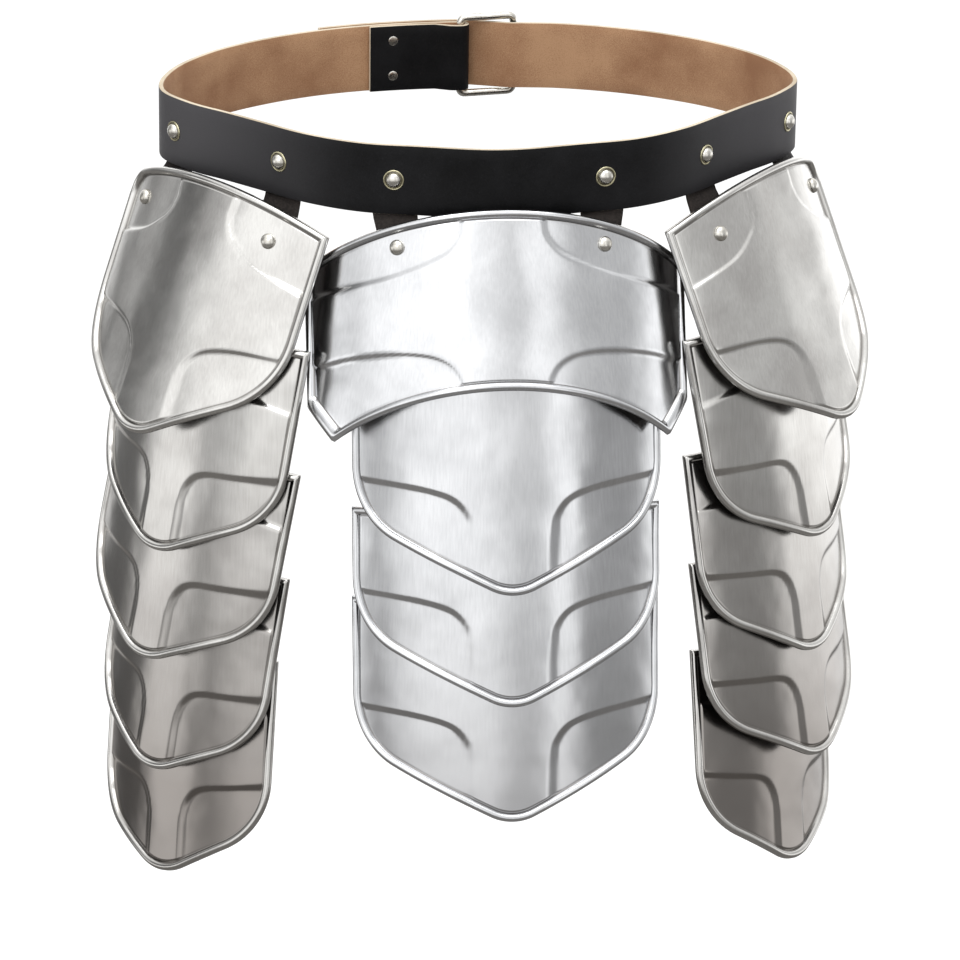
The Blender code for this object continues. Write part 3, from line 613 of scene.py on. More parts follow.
@dataclass
class SteelPlate:
    """One plate: pressed sheet with its edge rolled outwards over a wire all round."""

    name: str
    outline: PlateOutline
    radius: float
    matrix: Matrix
    steps: list[PressedStep]
    pitch: float = 1.7 * MM
    sheet: float = 1.2 * MM
    bead_width: float = 5.4 * MM
    bead_height: float = 3.4 * MM
    bead_rings: int = 9
    # The groove where the bead meets the sheet, which is painted dark as shade, the painted shade on the
    # bead's foot, and the flat beside it.
    seam_width: float = 0.1 * MM
    seam_depth: float = 0.15 * MM
    seam_fade: float = 0.7
    seam_flat: float = 0.7 * MM

    def surface(self, across: np.ndarray, level: np.ndarray, height: np.ndarray) -> np.ndarray:
        """Bend flat points round the cylinder and place them in the frame.

        Args:
            across: How far each flat point lies to the side, in metres.
            level: How high each flat point lies, in metres.
            height: How far each point stands off the sheet's outer face.

        Returns:
            The points, one row each.
        """
        turn = across / self.radius
        reach = self.radius + height
        local = np.stack([reach * np.sin(turn), self.radius - reach * np.cos(turn), level,
                          np.ones_like(turn)], axis=-1)
        return (local @ np.array(self.matrix).T)[..., :3]

    def relief(self, across: np.ndarray, level: np.ndarray) -> np.ndarray:
        """Return the pressed height at flat points: full on the cross band, none in the panels.

        Args:
            across: How far each flat point lies to the side, in metres.
            level: How high each flat point lies, in metres.

        Returns:
            The height of each point, in metres.
        """
        height = np.full(np.shape(across), self.steps[0].drop)
        for step in self.steps:
            height = height - step.drop * step.sunk(np.asarray(across), np.asarray(level))
        return np.maximum(height, 0.0)

    def seat(self, across: float, level: float, depth: float = 0.0) -> tuple[np.ndarray, np.ndarray]:
        """Return a point on the outer face, or under it, and the way out of the plate there.

        Args:
            across: The flat point's side distance.
            level: Its height.
            depth: How far under the face.

        Returns:
            The point and the unit vector outwards.
        """
        height = self.relief(np.array([across]), np.array([level]))
        low = self.surface(np.array([across]), np.array([level]), height - depth)[0]
        high = self.surface(np.array([across]), np.array([level]), height - depth + MM)[0]
        return low, (high - low) / np.linalg.norm(high - low)

    def bead(self) -> list[tuple[float, float, float]]:
        """Return the rolled edge's section as (inset, height, painted crease shade) rows, from the sheet
        outwards.

        Returns:
            One row for each ring of points.
        """
        half = self.bead_width / 2
        # The groove's ring is painted fully dark as shade.
        rows = [(self.bead_width + self.seam_width, -self.seam_depth, 1.0)]
        for i in range(self.bead_rings - 1):
            turn = math.pi * i / (self.bead_rings - 2)
            # The bead's foot takes part of the painted crease shade.
            grime = self.seam_fade if i == 0 else 0.0
            rows.append((half + half * math.cos(turn), self.bead_height * math.sin(turn), grime))
        return rows

    def build(self, steel: Material, inside: Material) -> Object:
        """Build the plate, polished outside and painted dark inside as painted shade.

        Args:
            steel: The finish outside.
            inside: The finish inside.

        Returns:
            The finished piece.
        """
        wide = math.ceil(2 * self.outline.half_width / self.pitch)
        tall = math.ceil((self.outline.above + self.outline.depth) / self.pitch)
        rings = self.bead()
        rim = len(rings)
        i, j = np.meshgrid(np.arange(wide + 2 * rim + 1), np.arange(tall + 2 * rim + 1))
        share = np.clip((i - rim) / wide, 0, 1) * 2 - 1
        row = np.clip((j - rim) / tall, 0, 1)
        ring = np.maximum.reduce([rim - i, i - rim - wide, rim - j, j - rim - tall, np.zeros_like(i)])
        table = np.array([(self.bead_width + self.seam_flat, 0.0, 0.0)] + rings)
        inset, lift, seam = (table[ring, k] for k in range(3))
        across, level = self.outline.flat(share, row, inset)
        height = np.where(ring == 0, self.relief(across, level), lift)
        points = self.surface(across, level, height).reshape(-1, 3)
        columns = wide + 2 * rim
        inner_i = (i >= rim) & (i < rim + wide)
        inner_j = (j >= rim) & (j < rim + tall)
        keep = (inner_i | inner_j)[:-1, :-1].reshape(-1)
        faces = [face for face, kept in zip(grid_faces(columns, tall + 2 * rim), keep) if kept]
        # The crease attribute carries the painted shade in the crease; the rim attribute marks the rolled
        # edge.
        made = mesh_object(self.name + "_sheet", points, faces, [steel, inside],
                           {"seam": seam.reshape(-1), "rim": (ring > 0).reshape(-1)})
        thick = made.modifiers.new("Sheet thickness", "SOLIDIFY")
        thick.thickness = self.sheet
        thick.offset = -1.0
        thick.use_even_offset = False
        thick.material_offset = 1
        return finish_piece(made, [self.name])


@dataclass
class BeltLine:
    """The belt's plan line round the hips, tilted down to the front."""

    half_width: float = 204.5 * MM
    height: float = 44.5 * MM
    thickness: float = 3.0 * MM
    tilt: float = math.radians(7.7)
    samples: int = 720
    # Degrees round from the front, and the share of the half width there.
    plan: tuple = ((0, 0.695), (20, 0.692), (35, 0.735), (50, 0.768), (62, 0.798), (72, 0.852),
                   (81, 0.935), (90, 1.0), (102, 0.985), (116, 0.925), (132, 0.845), (150, 0.775),
                   (166, 0.735), (180, 0.725))

    def __post_init__(self) -> None:
        """Measure the line once."""
        self.turned = Matrix.Rotation(self.tilt, 4, "X")
        self.angles = np.linspace(-180.0, 180.0, self.samples + 1)
        radii = self.reach(np.abs(self.angles)) * self.half_width
        turns = np.radians(self.angles)
        self.points = np.stack([radii * np.sin(turns), -radii * np.cos(turns)], axis=1)
        lengths = np.linalg.norm(np.diff(self.points, axis=0), axis=1)
        self.run = np.concatenate([[0.0], np.cumsum(lengths)])
        self.length = float(self.run[-1])

    def reach(self, angle: np.ndarray) -> np.ndarray:
        """Read the plan with a smooth curve that is level at the front and at the back.

        Args:
            angle: Degrees round from the front, either way.

        Returns:
            The distance from the centre, as a share of the half width.
        """
        x, y = np.array(self.plan, dtype=float).T
        slope = np.concatenate([[0.0], (y[2:] - y[:-2]) / (x[2:] - x[:-2]), [0.0]])
        i = np.clip(np.searchsorted(x, angle, side="right") - 1, 0, len(x) - 2)
        span = x[i + 1] - x[i]
        t = (angle - x[i]) / span
        return ((2 * t**3 - 3 * t**2 + 1) * y[i] + (t**3 - 2 * t**2 + t) * span * slope[i]
                + (3 * t**2 - 2 * t**3) * y[i + 1] + (t**3 - t**2) * span * slope[i + 1])

    def normal(self, run: float) -> np.ndarray:
        """Return the plan normal at a length along the loop, pointing out.

        Args:
            run: Length along the loop.

        Returns:
            A unit vector (x, y).
        """
        step = self.length / self.samples * 3
        ahead = [np.interp((run + step) % self.length, self.run, self.points[:, k]) for k in (0, 1)]
        behind = [np.interp((run - step) % self.length, self.run, self.points[:, k]) for k in (0, 1)]
        along = np.array(ahead) - np.array(behind)
        along /= np.linalg.norm(along)
        return np.array([along[1], -along[0]])

    def place(self, run: float, outward: float = 0.0, up: float = 0.0) -> Vector:
        """Return the point at a length along the loop, moved off its outer face and up.

        Args:
            run: Length along the loop.
            outward: Distance off the outer face.
            up: Height above the belt's middle.

        Returns:
            The point in the frame.
        """
        run = run % self.length
        point = [np.interp(run, self.run, self.points[:, k]) for k in (0, 1)]
        normal = self.normal(run)
        return self.turned @ Vector((point[0] + normal[0] * outward, point[1] + normal[1] * outward, up))

    def run_at(self, angle: float) -> float:
        """Return the length along the loop at an angle from the front."""
        return float(np.interp(angle, self.angles, self.run))

    def seat(self, angle: float, depth: float = 0.0) -> tuple[np.ndarray, np.ndarray]:
        """Return a point on the belt's outer face, or under it, and the way out there.

        Args:
            angle: Degrees round from the front, towards +X.
            depth: How far under the face.

        Returns:
            The point and the unit vector outwards.
        """
        run = self.run_at(angle)
        point = np.array(self.place(run, -depth))
        out = np.array(self.place(run, MM - depth)) - point
        return point, out / np.linalg.norm(out)


@dataclass
class HipBelt:
    """The belt: one strip folded round the buckle's bar, its tongue outside, and the buckle."""

    line: BeltLine
    bar: float = 5.0 * MM
    buckle_length: float = 36 * MM
    buckle_margin: float = 1.2 * MM
    prong: float = 3.6 * MM
    prong_reach: float = 5.5 * MM
    prong_rise: float = 11 * MM
    prong_overhang: float = 4 * MM
    prong_seat: float = 0.5 * MM
    flap: float = 62 * MM
    # Shares of the flap where its end, its rivets and the start of its bend lie.
    flap_from: float = 1.0
    flap_rivets: float = 0.74
    flap_to: float = 0.45
    fold_rivet_up: float = 12 * MM
    tongue: float = 95 * MM
    tongue_out: float = 5.2 * MM
    fold_gap: float = 0.7 * MM
    link: float = 27 * MM
    step: float = 5 * MM
    edge_round: float = 0.5 * MM
    rows: int = 6

    def course(self) -> list[tuple[float, float]]:
        """Return the strip's route as (length along the loop, distance out) rows.

        Returns:
            One row for each station, from the flap's end to the tongue's.
        """
        half = self.line.thickness / 2
        bend = self.bar / 2 + self.fold_gap + half
        inner = -(self.line.thickness + self.fold_gap)
        rows = [(self.flap * share, inner) for share in np.linspace(self.flap_from, self.flap_to, 8)]
        rows += [(bend * 3.6, inner - 0.4 * MM), (bend * 2.4, -2 * bend * 0.72),
                 (bend * 1.5, -2 * bend * 0.93), (bend * 0.7, -2 * bend)]
        for turn in np.linspace(90, 270, 13):
            angle = math.radians(turn)
            rows.append((bend * math.cos(angle), -bend - bend * math.sin(angle)))
        far = self.line.length - self.buckle_length
        near = self.line.length
        start, end = bend * 0.8, far - self.link
        count = round((end - start) / self.step)
        rows += [(start + (end - start) * i / count, 0.0) for i in range(count + 1)]
        over = smooth_line([(end, 0.0), (far - self.bar, -half), (far + self.bar, -half),
                            (near - self.bar, self.tongue_out * 0.86), (near + self.bar, self.tongue_out)], 5)
        rows += [tuple(p) for p in over[1:]]
        steps = round(self.tongue / self.step)
        rows += [(near + self.bar + (self.tongue - self.bar) * i / steps, self.tongue_out)
                 for i in range(1, steps + 1)]
        return rows

    def build_strip(self, finishes: Finishes) -> Object:
        """Build the strip: black outside, tan flesh side within, pale cut edges.

        Args:
            finishes: The object's finishes.

        Returns:
            The finished piece.
        """
        course = self.course()
        half = self.line.thickness / 2
        points = []
        for k in range(self.rows + 1):
            up = (k / self.rows - 0.5) * self.line.height
            points += [tuple(self.line.place(run, out - half, up)) for run, out in course]
        made = mesh_object("hip_belt_strip", np.array(points), grid_faces(len(course) - 1, self.rows),
                           [finishes.belt_leather, finishes.flesh_side, finishes.cut_edge])
        dress_strip(made, self.line.thickness, self.edge_round)
        return finish_piece(made, ["belt"])

    def build_buckle(self, finishes: Finishes) -> Object:
        """Build the buckle as bent round wire with a prong over its far bar.

        Args:
            finishes: The object's finishes.

        Returns:
            The finished piece.
        """
        half = self.line.thickness / 2
        rise = self.line.height / 2 + self.buckle_margin + self.bar / 2
        near = -(self.bar / 2 + self.fold_gap + half) - half
        far = -half + self.fold_gap * 2 + self.bar / 2
        top = far + self.bar / 2 + self.prong / 2 - self.prong_seat
        curve = bpy.data.curves.new("buckle wire", "CURVE")
        curve.dimensions = "3D"
        curve.bevel_depth = self.bar / 2
        curve.bevel_resolution = 4
        curve.use_fill_caps = True
        corners = [(0.0, near, -rise), (0.0, near, rise), (-self.buckle_length, far, rise),
                   (-self.buckle_length, far, -rise)]
        loop = []
        for k, corner in enumerate(corners):
            here = np.array(corner)
            before = np.array(corners[k - 1]) - here
            after = np.array(corners[(k + 1) % 4]) - here
            radius = self.bar * 0.9
            a = here + before / np.linalg.norm(before) * radius
            b = here + after / np.linalg.norm(after) * radius
            for t in np.linspace(0, 1, 7):
                loop.append((1 - t) ** 2 * a + 2 * t * (1 - t) * here + t * t * b)
        pin = smooth_line([(0.0, near), (-self.prong_reach, self.tongue_out),
                           (-self.prong_rise, self.tongue_out + half + self.prong / 2),
                           (-self.buckle_length, top), (-self.buckle_length - self.prong_overhang, top)], 6)
        prong = [(run, out, 0.0) for run, out in pin]
        for points, cyclic, radius in ((loop, True, 1.0), (prong, False, self.prong / self.bar)):
            spline = curve.splines.new("POLY")
            spline.points.add(len(points) - 1)
            for place, point in zip(spline.points, points):
                place.co = (*self.line.place(*point), 1.0)
                place.radius = radius
            spline.use_cyclic_u = cyclic
        made = curve_piece("hip_belt_buckle", curve, finishes.rivet_steel)
        return finish_piece(made, ["buckle"])


def dress_strip(piece: Object, thickness: float, edge_round: float) -> None:
    """Give a leather strip its thickness, its raw back and edges, and softened arrises.

    Args:
        piece: The strip's middle surface, facing out.
        thickness: The leather's thickness.
        edge_round: How far the arrises are rounded.
    """
    thick = piece.modifiers.new("Leather thickness", "SOLIDIFY")
    thick.thickness = thickness
    thick.offset = 0.0
    thick.material_offset = 1
    thick.material_offset_rim = 2
    soft = piece.modifiers.new("Softened arris", "BEVEL")
    soft.width = edge_round
    soft.segments = 2
    soft.limit_method = "ANGLE"
    soft.angle_limit = math.radians(60)


def curve_piece(name: str, curve: Curve, material: Material) -> Object:
    """Turn a bevelled curve into a mesh piece.

    Args:
        name: The piece's name.
        curve: The curve, in the frame's metres.
        material: Its finish.

    Returns:
        The new object, at the origin.
    """
    mesh = take_shape(link_object(name + "_curve", curve))
    bm = bmesh.new()
    bm.from_mesh(mesh)
    bmesh.ops.remove_doubles(bm, verts=bm.verts, dist=MERGE_DISTANCE)
    bm.normal_update()
    bmesh.ops.recalc_face_normals(bm, faces=bm.faces)
    bm.to_mesh(mesh)
    bm.free()
    mesh.materials.clear()
    mesh.materials.append(material)
    mesh.shade_smooth()
    return link_object(name, mesh)


@dataclass
class HangerStrap:
    """A leather strap from behind the belt down the inner faces of its plates."""

    name: str
    line: BeltLine
    belt_angle: float
    holds: list[tuple[SteelPlate, float, float, bool]]
    width: float = 28.5 * MM
    thickness: float = 2.5 * MM
    clearance: float = 0.3 * MM
    room: float = 1.2 * MM
    landing: float = 6.5 * MM
    top_margin: float = 4 * MM
    edge_round: float = 0.4 * MM
    columns: int = 8
    step: float = 3 * MM

    def stations(self) -> np.ndarray:
        """Return rows of points across the strap, from its top end down.

        Returns:
            An array of (station, place across, x y z).
        """
        shares = np.linspace(-1, 1, self.columns + 1)
        run = self.line.run_at(self.belt_angle)
        behind = -(self.line.thickness + self.clearance + self.thickness / 2)
        rows = []
        half = self.line.height / 2
        for up in (half - self.top_margin, -half - self.top_margin / 2):
            rows.append([tuple(self.line.place(run + s * self.width / 2, behind, up)) for s in shares])
        for plate, across, level, shown in self.holds:
            above = level + self.landing if shown else plate.outline.above
            for stop in (above, level - self.landing):
                place = across + shares * self.width / 2
                stops = np.full_like(place, stop)
                height = plate.relief(place, stops) - plate.sheet - self.room - self.thickness / 2
                rows.append(plate.surface(place, stops, height).tolist())
        return np.array(rows)

    def build(self, finishes: Finishes) -> Object:
        """Build and dress the strap.

        Args:
            finishes: The object's finishes.

        Returns:
            The finished piece.
        """
        rows = self.stations()
        middle = rows[:, self.columns // 2]
        run = np.concatenate([[0.0], np.cumsum(np.linalg.norm(np.diff(middle, axis=0), axis=1))])
        count = round(run[-1] / self.step)
        at = np.linspace(0, run[-1], count + 1)
        dense = np.stack([[np.interp(at, run, rows[:, c, k]) for k in range(3)]
                          for c in range(self.columns + 1)], axis=0).transpose(2, 0, 1)
        for _ in range(3):
            dense[1:-1] = (dense[:-2] + 2 * dense[1:-1] + dense[2:]) / 4
        points = dense[::-1].reshape(-1, 3)
        made = mesh_object(self.name + "_leather", points, grid_faces(self.columns, count),
                           [finishes.strap_leather])
        dress_strip(made, self.thickness, self.edge_round)
        return finish_piece(made, [self.name])


class RivetTree:
    """The node tree that sets a turned rivet head on every point of a mesh."""

    INPUTS = (("Head diameter", "NodeSocketFloat"), ("Head height", "NodeSocketFloat"),
              ("Ring diameter", "NodeSocketFloat"), ("Ring wire", "NodeSocketFloat"),
              ("Ringed", "NodeSocketBool"), ("Head metal", "NodeSocketMaterial"),
              ("Ring metal", "NodeSocketMaterial"), ("Dish metal", "NodeSocketMaterial"))
    DISH_THICKNESS = 0.6 * MM

    def __init__(self) -> None:
        """Build the tree once."""
        tree = bpy.data.node_groups.new("rivet heads", "GeometryNodeTree")
        tree.interface.new_socket("Geometry", in_out="INPUT", socket_type="NodeSocketGeometry")
        self.ids = {}
        for name, kind in self.INPUTS:
            self.ids[name] = tree.interface.new_socket(name, in_out="INPUT", socket_type=kind).identifier
        tree.interface.new_socket("Geometry", in_out="OUTPUT", socket_type="NodeSocketGeometry")
        add = partial(add_node, tree)
        given = add("NodeGroupInput").outputs
        times = {"operation": "MULTIPLY"}
        half, reach, wire = (add("ShaderNodeMath", times, {0: given[name], 1: 0.5})
                             for name in ("Head diameter", "Ring diameter", "Ring wire"))
        # A dome: the upper half of a ball, stretched to the head's size, with its lower half flat.
        ball = add("GeometryNodeMeshUVSphere", inputs={"Segments": 28, "Rings": 14, "Radius": 1.0})
        spot = add("ShaderNodeSeparateXYZ", inputs={0: add("GeometryNodeInputPosition")}).outputs
        flat = add("ShaderNodeMath", {"operation": "MAXIMUM"}, {0: spot["Z"], 1: 0.0})
        rise = add("ShaderNodeMath", times, {0: flat, 1: given["Head height"]})
        sides = [add("ShaderNodeMath", times, {0: spot[axis], 1: half}) for axis in ("X", "Y")]
        moved = add("ShaderNodeCombineXYZ", inputs={0: sides[0], 1: sides[1], 2: rise})
        dome = add("GeometryNodeSetPosition", inputs={"Geometry": ball, "Position": moved})
        # A ring washer: a wire ring round a thin dish.
        path = add("ShaderNodeMath", {"operation": "SUBTRACT"}, {0: reach, 1: wire})
        circle, section = (
            add("GeometryNodeCurvePrimitiveCircle", inputs={"Resolution": count, "Radius": radius})
            for count, radius in ((40, path), (10, wire)))
        ring = add("GeometryNodeCurveToMesh", inputs={"Curve": circle, "Profile Curve": section})
        dish = add("GeometryNodeMeshCylinder", inputs={
            "Vertices": 40, "Radius": path, "Depth": self.DISH_THICKNESS})
        domed, ringed, dished = (
            add("GeometryNodeSetMaterial", inputs={"Geometry": shape, "Material": given[metal]})
            for shape, metal in ((dome, "Head metal"), (ring, "Ring metal"), (dish, "Dish metal")))
        washer = add("GeometryNodeJoinGeometry", inputs={0: ringed})
        add(washer, inputs={0: dished})
        choice = add("GeometryNodeSwitch", {"input_type": "GEOMETRY"},
                     {"Switch": given["Ringed"], "True": washer})
        head = add("GeometryNodeJoinGeometry", inputs={0: domed})
        add(head, inputs={0: choice})
        out, size = (add("GeometryNodeInputNamedAttribute", {"data_type": "FLOAT_VECTOR"}, {"Name": name})
                     for name in ("out", "size"))
        turn = add("FunctionNodeAlignRotationToVector", {"axis": "Z"}, {"Vector": out})
        placed = add("GeometryNodeInstanceOnPoints", inputs={
            "Points": given["Geometry"], "Instance": head, "Rotation": turn, "Scale": size})
        real = add("GeometryNodeRealizeInstances", inputs={0: placed})
        smooth = add("GeometryNodeSetShadeSmooth", inputs={0: real})
        add("NodeGroupOutput", inputs={0: smooth})
        self.tree = tree


@dataclass
class RivetSet:
    """Rivets of one kind: heads outside, and flatter peened heads on burrs inside."""

    name: str
    head: Head
    nodes: list[str]
    seats: list[tuple[np.ndarray, np.ndarray]]
    backs: list[tuple[np.ndarray, np.ndarray]]
    diameter: float
    height: float
    ring: float = 13.2 * MM
    ring_wire: float = 1.3 * MM
    back_size: tuple[float, float, float] = (0.85, 0.85, 0.4)

    def build(self, tree: RivetTree, finishes: Finishes) -> Object:
        """Build all the heads of the set as one mesh.

        Args:
            tree: The tree that sets the heads.
            finishes: The object's finishes.

        Returns:
            The finished piece.
        """
        points = [seat for seat, _ in self.seats] + [seat for seat, _ in self.backs]
        outs = [out for _, out in self.seats] + [-out for _, out in self.backs]
        sizes = [(1.0, 1.0, 1.0)] * len(self.seats) + [self.back_size] * len(self.backs)
        mesh = bpy.data.meshes.new(self.name)
        mesh.from_pydata([tuple(p) for p in points], [], [])
        for name, rows in (("out", outs), ("size", sizes)):
            layer = mesh.attributes.new(name, "FLOAT_VECTOR", "POINT")
            layer.data.foreach_set("vector", np.array(rows, dtype=np.float32).ravel())
        holder = link_object(self.name + "_points", mesh)
        modifier = holder.modifiers.new("Rivet heads", "NODES")
        modifier.node_group = tree.tree
        values = {"Head diameter": self.diameter, "Head height": self.height, "Ring diameter": self.ring,
                  "Ring wire": self.ring_wire, "Ringed": self.head is Head.RINGED,
                  "Head metal": finishes.rivet_steel, "Ring metal": finishes.washer_brass,
                  "Dish metal": finishes.washer_dish}
        for name, value in values.items():
            modifier[tree.ids[name]] = value
        return finish_piece(link_object(self.name, take_shape(holder)), self.nodes)


@dataclass
class FrontApron:
    """The wide arched front plate and the three pointed lames below it, on two straps."""

    line: BeltLine
    radius: float = 140 * MM
    half_width: float = 140 * MM
    height: float = 112 * MM
    arch: float = 29 * MM
    foot_arch: float = 27 * MM
    corner: float = 22 * MM
    lean: float = math.radians(15.7)
    standoff: float = 5.2 * MM
    drop: float = 14.5 * MM
    rivet_across: float = 67 * MM
    rivet_down: float = 21 * MM
    belt_angle: float = 27.0
    lame_radius: float = 141 * MM
    lame_half_width: float = 105.5 * MM
    lame_point: float = 0.49
    lame_corner: float = 52 * MM
    lame_tip: float = 32 * MM
    lame_lean: float = math.radians(6.0)
    lame_pitch: float = 74.8 * MM
    lame_below: float = 128 * MM
    lame_tuck: float = 11.5 * MM
    lame_drift: float = 1.2 * MM
    lame_sway: float = 4.5 * MM
    lame_depth: float = 60 * MM
    # Height above the reference line and the rivets' height above it, as shares of the pitch, and how
    # far the lame hangs below even spacing.
    lame_rows: tuple = ((1.26, 1.04, 3.5 * MM), (0.86, 0.66, 0.8 * MM), (1.08, 0.88, 0.8 * MM))

    def plates(self) -> list[SteelPlate]:
        """Return the front plate and its lames, not yet built.

        Returns:
            The plates, from the top down.
        """
        plate_steps = [
            PressedStep([(24, -8), (24.5, -14), (28, -21), (38, -29.5), (64.6, -39), (90.6, -44),
                         (129.5, -49)], True),
            PressedStep([(25, -114), (27, -103), (34, -94), (47.4, -88), (70.8, -85.5), (102.6, -86.5),
                         (129.5, -90)], False)]
        outline = PlateOutline(self.half_width, 0.0, self.height, Foot.ARCHED, arch=self.arch,
                               foot_arch=self.foot_arch, cut=self.corner)
        top = (Matrix.Translation(self.line.place(self.line.run_at(0.0)))
               @ Matrix.Translation((0.0, -self.standoff, -self.drop)) @ Matrix.Rotation(-self.lean, 4, "X"))
        made = [SteelPlate("front_plate", outline, self.radius, top, plate_steps)]
        foot = (top @ Matrix.Translation((0.0, 0.0, -self.height))).translation
        for row, (above, _, sink) in enumerate(self.lame_rows):
            outline = PlateOutline(self.lame_half_width, above * self.lame_pitch, self.lame_depth,
                                   slope=self.lame_point, corner=self.lame_corner, tip=self.lame_tip)
            steps = [PressedStep([(24, -58), (24, -42), (24.5, -22), (27, -9), (36, 1.5), (52, 7),
                                  (74.6, 10.5), (101.7, 13)], False)]
            drop = self.lame_below - self.lame_depth + row * self.lame_pitch + sink
            inward = self.lame_tuck + row * self.lame_drift
            place = Matrix.Translation(foot + Vector((self.lame_sway, inward, -drop)))
            made.append(SteelPlate(f"front_lame_{row + 1}", outline, self.lame_radius,
                                   place @ Matrix.Rotation(-self.lame_lean, 4, "X"), steps))
        return made

    def holds(self, plates: list[SteelPlate], side: Side) -> list[tuple[SteelPlate, float, float, bool]]:
        """Return where a strap holds each plate: (plate, across, level, whether the rivet shows).

        Args:
            plates: The group's plates.
            side: The strap's side.

        Returns:
            One row for each plate.
        """
        across = side.value * self.rivet_across
        rows = [(plates[0], across, -self.rivet_down, True)]
        for plate, (_, up, _) in zip(plates[1:], self.lame_rows):
            rows.append((plate, across, up * self.lame_pitch, False))
        return rows


@dataclass
class SideTasset:
    """One tasset: the large top plate and four lames below it, on two straps."""

    line: BeltLine
    side: Side
    angle: float = 72.2
    facing: float = math.radians(48.3)
    roll: float = math.radians(7.2)
    radius: float = 163 * MM
    half_width: float = 93.5 * MM
    height: float = 167.5 * MM
    arch: float = 12 * MM
    point: float = 0.60
    corner: float = 62 * MM
    tip: float = 34 * MM
    rear: float = 16 * MM
    lean: float = math.radians(18.3)
    standoff: float = 12 * MM
    drop: float = 18.3 * MM
    rivet_down: float = 26 * MM
    rivets_across: tuple = (56 * MM, 66 * MM)
    belt_angles: tuple = (57.0, 84.5)
    lame_radius: float = 146 * MM
    lame_half_width: float = 86 * MM
    lame_point: float = 0.53
    lame_corner: float = 52 * MM
    lame_tip: float = 38 * MM
    lame_lean: float = math.radians(7.5)
    lame_pitch: float = 71.2 * MM
    lame_drift: float = 7.5 * MM
    lame_tuck: float = 23.5 * MM
    lame_below: float = 79.5 * MM
    lame_forward: float = 12 * MM
    lame_above: float = 62 * MM
    lame_depth: float = 83.5 * MM
    lame_rivet_up: float = 46 * MM
    lame_strap_across: float = 53 * MM
    # One row for each lame, from the top down: share of the half width, share of the height above,
    # lean outwards in degrees, sway towards +X, and how far it hangs below even spacing.
    lame_rows: dict = field(default_factory=lambda: {
        Side.LEFT: ((0.995, 1.08, 7.2, 3.0 * MM, 0.0), (1.01, 1.0, 8.5, -4.0 * MM, 1.5 * MM),
                    (0.910, 1.0, 6.2, -1.5 * MM, 5.0 * MM), (0.90, 1.0, -2.0, -3.0 * MM, 2.2 * MM)),
        Side.RIGHT: ((0.990, 1.12, 7.2, -4.6 * MM, 0.0), (1.03, 1.0, 2.0, -3.0 * MM, 4.8 * MM),
                     (1.030, 1.0, 2.0, 2.5 * MM, 5.8 * MM), (0.92, 1.0, -5.0, -7.3 * MM, 5.6 * MM))})

    def plates(self) -> list[SteelPlate]:
        """Return the top plate and its lames, not yet built.

        Returns:
            The plates, from the top down.
        """
        sign, word = self.side.value, self.side.word
        turn = Matrix.Rotation(sign * self.facing, 4, "Z")
        roll = Matrix.Rotation(-sign * self.roll, 4, "Y")
        anchor = Matrix.Translation(self.line.place(self.line.run_at(sign * self.angle))) @ turn
        top = (anchor @ Matrix.Translation((0.0, -self.standoff, -self.drop))
               @ Matrix.Rotation(-self.lean, 4, "X") @ roll)
        outline = PlateOutline(self.half_width, 0.0, self.height, arch=self.arch, slope=self.point,
                               corner=self.corner, tip=self.tip, rear=self.rear, front_sign=-sign)
        steps = [PressedStep([(26, 0), (24, -10), (23.5, -20), (27, -29), (34, -36), (52, -46),
                              (88, -53)], True),
                 PressedStep([(22, -158), (21.5, -140), (22, -123), (26, -112), (36, -103), (56, -97),
                              (88, -93)], False)]
        made = [SteelPlate(f"{word}_plate", outline, self.radius, top, steps)]
        foot = (top @ Matrix.Translation((0.0, 0.0, -self.height))).translation
        for row, (taper, above, lean_out, sway, sink) in enumerate(self.lame_rows[self.side]):
            outline = PlateOutline(self.lame_half_width * taper, self.lame_above * above, self.lame_depth,
                                   slope=self.lame_point, corner=self.lame_corner, tip=self.lame_tip)
            steps = [PressedStep([(23, 66), (24, 52), (32, 38), (52, 28), (90, 22)], True),
                     PressedStep([(13, -80), (13, -62), (13.5, -46), (18, -33), (28, -25), (52, -21),
                                  (88, -16)], False)]
            inward = turn @ Vector((-sign * self.lame_forward, self.lame_tuck, 0.0))
            below = self.lame_below - self.lame_depth + row * self.lame_pitch + sink
            place = Matrix.Translation(foot + inward + Vector((sway, row * self.lame_drift, -below)))
            matrix = (place @ turn @ Matrix.Rotation(-self.lame_lean, 4, "X")
                      @ Matrix.Rotation(-sign * math.radians(lean_out), 4, "Y"))
            made.append(SteelPlate(f"{word}_lame_{row + 1}", outline, self.lame_radius, matrix, steps))
        return made

    def holds(self, plates: list[SteelPlate], rear: bool) -> list[tuple[SteelPlate, float, float, bool]]:
        """Return where a strap holds each plate: (plate, across, level, whether the rivet shows).

        Args:
            plates: The group's plates.
            rear: Whether it is the rear strap.

        Returns:
            One row for each plate.
        """
        way = self.side.value * (1 if rear else -1)
        rows = [(plates[0], way * self.rivets_across[rear], -self.rivet_down, True)]
        rows += [(plate, way * self.lame_strap_across, self.lame_rivet_up, False) for plate in plates[1:]]
        return rows


